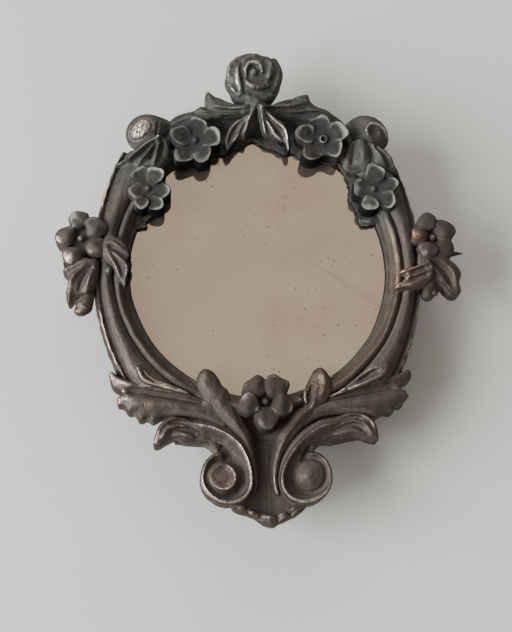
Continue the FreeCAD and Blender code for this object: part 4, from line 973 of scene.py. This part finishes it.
class Nodes:
    """A material's node tree with short ways to add to it."""

    def __init__(self, name):
        self.material = bpy.data.materials.new(name)
        self.material.use_nodes = True
        self.tree = self.material.node_tree
        self.shader = self.tree.nodes["Principled BSDF"]
        self.place = self.new("ShaderNodeTexCoord").outputs["Object"]

    def new(self, kind, **settings):
        node = self.tree.nodes.new(kind)
        for key, value in settings.items():
            setattr(node, key, value)
        return node

    def link(self, source, target):
        self.tree.links.new(source, target)

    def noise(self, scale, detail=4.0, roughness=0.55, stretch=None):
        node = self.new("ShaderNodeTexNoise")
        node.inputs["Scale"].default_value = scale
        node.inputs["Detail"].default_value = detail
        node.inputs["Roughness"].default_value = roughness
        place = self.place
        if stretch:
            mapping = self.new("ShaderNodeMapping", vector_type="TEXTURE")
            mapping.inputs["Scale"].default_value = (stretch[0], 1.0, 1.0)
            mapping.inputs["Rotation"].default_value = (0.0, 0.0, stretch[1])
            self.link(place, mapping.inputs["Vector"])
            place = mapping.outputs["Vector"]
        self.link(place, node.inputs["Vector"])
        return node.outputs["Fac"]

    def ramp(self, source, stops, interpolation="EASE"):
        node = self.new("ShaderNodeValToRGB")
        node.color_ramp.interpolation = interpolation
        while len(node.color_ramp.elements) < len(stops):
            node.color_ramp.elements.new(0.5)
        for element, (at, colour) in zip(node.color_ramp.elements, stops):
            element.position = at
            value = colour if isinstance(colour, tuple) else (colour,) * 3
            element.color = (*value, 1.0)
        self.link(source, node.inputs["Fac"])
        return node.outputs["Color"]

    def math(self, operation, a, b):
        node = self.new("ShaderNodeMath", operation=operation)
        for socket, value in zip(node.inputs, (a, b)):
            if isinstance(value, (int, float)):
                socket.default_value = value
            else:
                self.link(value, socket)
        return node.outputs["Value"]

    def blend(self, share, a, b, kind="MIX"):
        node = self.new("ShaderNodeMix", data_type="RGBA", blend_type=kind)
        for socket, value in ((node.inputs[0], share), (node.inputs[6], a), (node.inputs[7], b)):
            if isinstance(value, tuple):
                socket.default_value = (*value, 1.0)
            elif isinstance(value, (int, float)):
                socket.default_value = value
            else:
                self.link(value, socket)
        return node.outputs[2]

    def tint(self, colour, by):
        return self.blend(1.0, colour, by, "MULTIPLY")

    def relief(self, source, distance, strength=0.5, under=None):
        node = self.new("ShaderNodeBump")
        node.inputs["Distance"].default_value = distance
        node.inputs["Strength"].default_value = strength
        self.link(source, node.inputs["Height"])
        if under is not None:
            self.link(under, node.inputs["Normal"])
        return node.outputs["Normal"]

    def use(self, socket, source):
        if isinstance(source, (int, float)):
            self.shader.inputs[socket].default_value = source
        else:
            self.link(source, self.shader.inputs[socket])


def silver_material(name, sculpted=True):
    """Silver darkened by age: black in the hollows, brown-grey on the faces, rubbed bright on the ridges;
    sculpted pieces also get painted shade and painted highlights.
    """
    n = Nodes(name)
    blotch = n.noise(420.0, 5.0, 0.6)
    grain = n.noise(2600.0, 6.0, 0.65)
    fine = n.noise(9000.0, 3.0, 0.6)
    if sculpted:
        patina_and_painted_light = n.new("ShaderNodeAttribute", attribute_name="patina_and_painted_light").outputs["Fac"]
    else:
        patina_and_painted_light = n.ramp(blotch, [(0.25, 0.3), (0.75, 0.55)])
    level = n.math("ADD", patina_and_painted_light, n.math("MULTIPLY", n.math("SUBTRACT", grain, 0.5), 0.32))
    level = n.math("ADD", level, n.math("MULTIPLY", n.math("SUBTRACT", blotch, 0.5), 0.26))
    colour = n.ramp(level, SILVER_TONES)
    towards_foot = n.new("ShaderNodeSeparateXYZ")
    n.link(n.place, towards_foot.inputs[0])
    warmth = n.math("SUBTRACT", n.noise(110.0, 3.0, 0.5), n.math("MULTIPLY", towards_foot.outputs["Y"],
            14.0))
    brown = n.ramp(warmth, [(0.32, 0.0), (0.68, 1.0)])
    colour = n.blend(brown, n.tint(colour, (0.93, 1.0, 1.04)), n.tint(colour, (1.08, 0.97, 0.90)))
    if sculpted:
        blush = n.new("ShaderNodeAttribute", attribute_name="blush").outputs["Fac"]
        patchy = n.math("MULTIPLY", blush, n.ramp(n.noise(900.0, 3.0, 0.5), [(0.30, 0.5), (0.60, 1.0)]))
        colour = n.blend(patchy, colour, n.tint(colour, (1.7, 1.12, 0.86)))
        # painted shade blends the colour to near black
        painted_shade = n.new("ShaderNodeAttribute", attribute_name="painted_shade").outputs["Fac"]
        colour = n.blend(painted_shade, colour, (0.010, 0.012, 0.013))
    n.use("Base Color", colour)
    metal = n.ramp(level, [(0.30, 1.0), (0.60, 0.70), (0.95, 0.2)])
    dull = n.ramp(n.math("ADD", level, n.math("MULTIPLY", fine, 0.2)), [(0.25, 0.34), (0.6, 0.44),
            (1.0, 0.62)])
    shine = 0.3
    if sculpted:
        # painted shade also dulls and darkens the shine
        metal = n.blend(painted_shade, metal, (0.1, 0.1, 0.1))
        dull = n.blend(painted_shade, dull, (0.8, 0.8, 0.8))
        shine = n.math("MULTIPLY", n.math("SUBTRACT", 1.0, painted_shade), 0.3)
    n.use("Metallic", metal)
    n.use("Roughness", dull)
    n.use("Specular IOR Level", shine)
    n.shader.inputs["Specular Tint"].default_value = (0.35, 0.34, 0.33, 1.0)
    under = n.relief(blotch, 0.00025, 0.35)
    under = n.relief(grain, 0.00013, 0.75, under)
    n.use("Normal", n.relief(fine, 0.00001, 0.4, under))
    return n.material


def mirror_material():
    """Old silvered glass: a warm tint painted in as the reflection of warm beige surroundings, dark freckles,
    fine slanting scratches and faint clouds.
    """
    n = Nodes("aged_mirror")
    cloud = n.noise(55.0, 3.0, 0.5)
    # painted reflection: the warm tint stands in for the warm beige surroundings the mirror reflects
    colour = n.ramp(cloud, [(0.30, (0.90, 0.695, 0.52)), (0.52, (0.99, 0.80, 0.61)), (0.72,
            (1.0, 0.845, 0.615))])
    blush = n.ramp(n.noise(95.0, 2.0, 0.5), [(0.50, 0.0), (0.70, 0.8)])
    colour = n.blend(blush, colour, (0.93, 0.68, 0.53))
    for pitch, patchy, bias, darkest in ((1300.0, 240.0, 0.45, 0.8), (700.0, 170.0, 0.55, 0.65)):
        cells = n.new("ShaderNodeTexVoronoi", feature="F1")
        cells.inputs["Scale"].default_value = pitch
        n.link(n.place, cells.inputs["Vector"])
        size = n.math("MINIMUM", n.math("SUBTRACT", n.noise(patchy, 3.0), bias), 0.16)
        freckle = n.ramp(n.math("SUBTRACT", size, cells.outputs["Distance"]), [(0.0, 0.0), (0.06, darkest)])
        colour = n.blend(freckle, colour, (0.22, 0.17, 0.14))
    haze = n.ramp(n.noise(1300.0, 5.0, 0.75), [(0.50, 0.0), (0.75, 0.25)])
    colour = n.blend(haze, colour, (0.60, 0.50, 0.39))
    for pitch, angle, share in ((260.0, -33, 0.45), (420.0, -38, 0.30), (330.0, 24, 0.18)):
        lines = n.noise(pitch, 1.0, 0.5, (40.0, math.radians(angle)))
        scratch = n.ramp(lines, [(0.644, 0.0), (0.648, share), (0.652, 0.0)], "LINEAR")
        colour = n.blend(scratch, colour, (0.60, 0.50, 0.28))
    n.use("Base Color", colour)
    n.use("Metallic", 0.94)
    n.use("Roughness", n.ramp(n.noise(230.0, 4.0, 0.6), [(0.3, 0.04), (0.75, 0.10)]))
    n.use("Normal", n.relief(n.noise(45.0, 2.0), 0.00006, 0.25))
    return n.material


def plain_metal(name, light, dark, rough, scratch_scale=700.0):
    """Sheet or wire metal with tarnish clouds and fine scratches."""
    n = Nodes(name)
    tarnish = n.noise(260.0, 6.0, 0.62)
    colour = n.ramp(tarnish, [(0.30, dark), (0.55, light), (0.80, tuple(0.75 * c for c in light))])
    lines = n.noise(scratch_scale, 3.0, 0.6, (16.0, 0.5))
    colour = n.blend(n.ramp(lines, [(0.56, 0.0), (0.66, 0.4)]), colour,
            tuple(min(1.0, 1.25 * c) for c in light))
    n.use("Base Color", colour)
    n.use("Metallic", 1.0)
    n.use("Roughness", n.ramp(tarnish, [(0.3, rough + 0.15), (0.7, rough)]))
    n.use("Normal", n.relief(lines, 0.00001, 0.4))
    return n.material


def card_material():
    n = Nodes("brown_card")
    fibre = n.noise(1800.0, 6.0, 0.7)
    n.use("Base Color", n.ramp(fibre, [(0.3, (0.20, 0.14, 0.08)), (0.7, (0.34, 0.26, 0.17))]))
    n.use("Roughness", 0.9)
    n.use("Normal", n.relief(fibre, 0.00003, 0.6))
    return n.material


def floor_material():
    n = Nodes("pale_paper")
    tone = n.noise(14.0, 3.0, 0.5)
    n.use("Base Color", n.ramp(tone, [(0.3, (0.605, 0.60, 0.575)), (0.7, (0.645, 0.64, 0.615))]))
    n.use("Roughness", 0.85)
    n.use("Normal", n.relief(n.noise(2200.0, 5.0, 0.6), 0.00002, 0.25))
    return n.material


def dress_cad_nodes():
    """Rear fittings keep their CAD shapes and get their materials."""
    brass = plain_metal("dull_brass", (0.36, 0.30, 0.19), (0.13, 0.10, 0.07), 0.38)
    dark_brass = plain_metal("dark_brass", (0.11, 0.095, 0.07), (0.04, 0.036, 0.03), 0.45)
    steel = plain_metal("pin_steel", (0.065, 0.057, 0.052), (0.025, 0.022, 0.020), 0.42, 2200.0)
    fitting = silver_material("fitting_silver", False)
    dress = {"back_plate": brass, "tabbed_bezel": dark_brass, "pin_stem": steel, "hinge_rivet": steel,
            "hinge_base": fitting, "catch": fitting, "mirror_plate": mirror_material(),
            "backing_card": card_material(), }
    for node, material in dress.items():
        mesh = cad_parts[node].data
        mesh.materials.clear()
        mesh.materials.append(material)


# stage ----------------------------------------------------------------------------------------------

def make_stage():
    """Pale sheet under the brooch, which rests on its rear fittings."""
    size = 1.2
    low = min(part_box(node)[0].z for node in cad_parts)
    bpy.ops.mesh.primitive_plane_add(size=size, location=(0, 0, low - 0.00002))
    floor = bpy.context.object
    floor.name = "floor"
    floor.data.materials.append(floor_material())


def area_light(name, place, aim, size, power, colour):
    light = bpy.data.lights.new(name, "AREA")
    light.shape = "RECTANGLE"
    light.size, light.size_y = size
    light.energy = power
    light.color = colour
    lamp = bpy.data.objects.new(name, light)
    bpy.context.scene.collection.objects.link(lamp)
    lamp.location = place
    lamp.rotation_euler = (Vector(aim) - Vector(place)).to_track_quat("-Z", "Y").to_euler()


def make_lights():
    world = bpy.data.worlds.new("studio")
    bpy.context.scene.world = world
    world.use_nodes = True
    tree = world.node_tree
    background = tree.nodes["Background"]
    background.inputs["Color"].default_value = (1.0, 0.94, 0.87, 1.0)
    background.inputs["Strength"].default_value = 0.42
    area_light("window", (-0.45, -0.08, 0.27), (0, 0, 0), (0.42, 0.40), 6.9, (0.97, 1.0, 1.0))
    area_light("far_wall", (-0.10, 0.62, 0.34), (0, 0, 0), (0.5, 0.4), 2.8, (1.0, 0.98, 0.95))


def make_camera():
    """Above the brooch, a little towards its foot and left."""
    turn, height, distance = math.radians(-14.0), math.radians(75.5), 165.0
    target = Vector((-0.4, -5.2, 2.8))
    back = Vector((math.sin(turn) * math.cos(height), -math.cos(turn) * math.cos(height), math.sin(height)))
    ahead = -back
    up = Vector((0, 1, 0))
    up = (up - ahead * up.dot(ahead)).normalized()
    right = ahead.cross(up)
    roll = math.radians(1.685)
    up = up * math.cos(roll) + right * math.sin(roll)
    right = ahead.cross(up)
    data = bpy.data.cameras.new("camera")
    data.sensor_width = 36.0
    data.lens = 85.4
    data.clip_start = 0.01
    camera = bpy.data.objects.new("camera", data)
    bpy.context.scene.collection.objects.link(camera)
    spin = Matrix((right, up, back)).transposed().to_4x4()
    camera.matrix_world = Matrix.Translation((target + distance * back) * MM) @ spin
    bpy.context.scene.camera = camera


make_castings()
build_castings(silver_material("oxidised_silver"))
dress_cad_nodes()
make_stage()
make_lights()
make_camera()
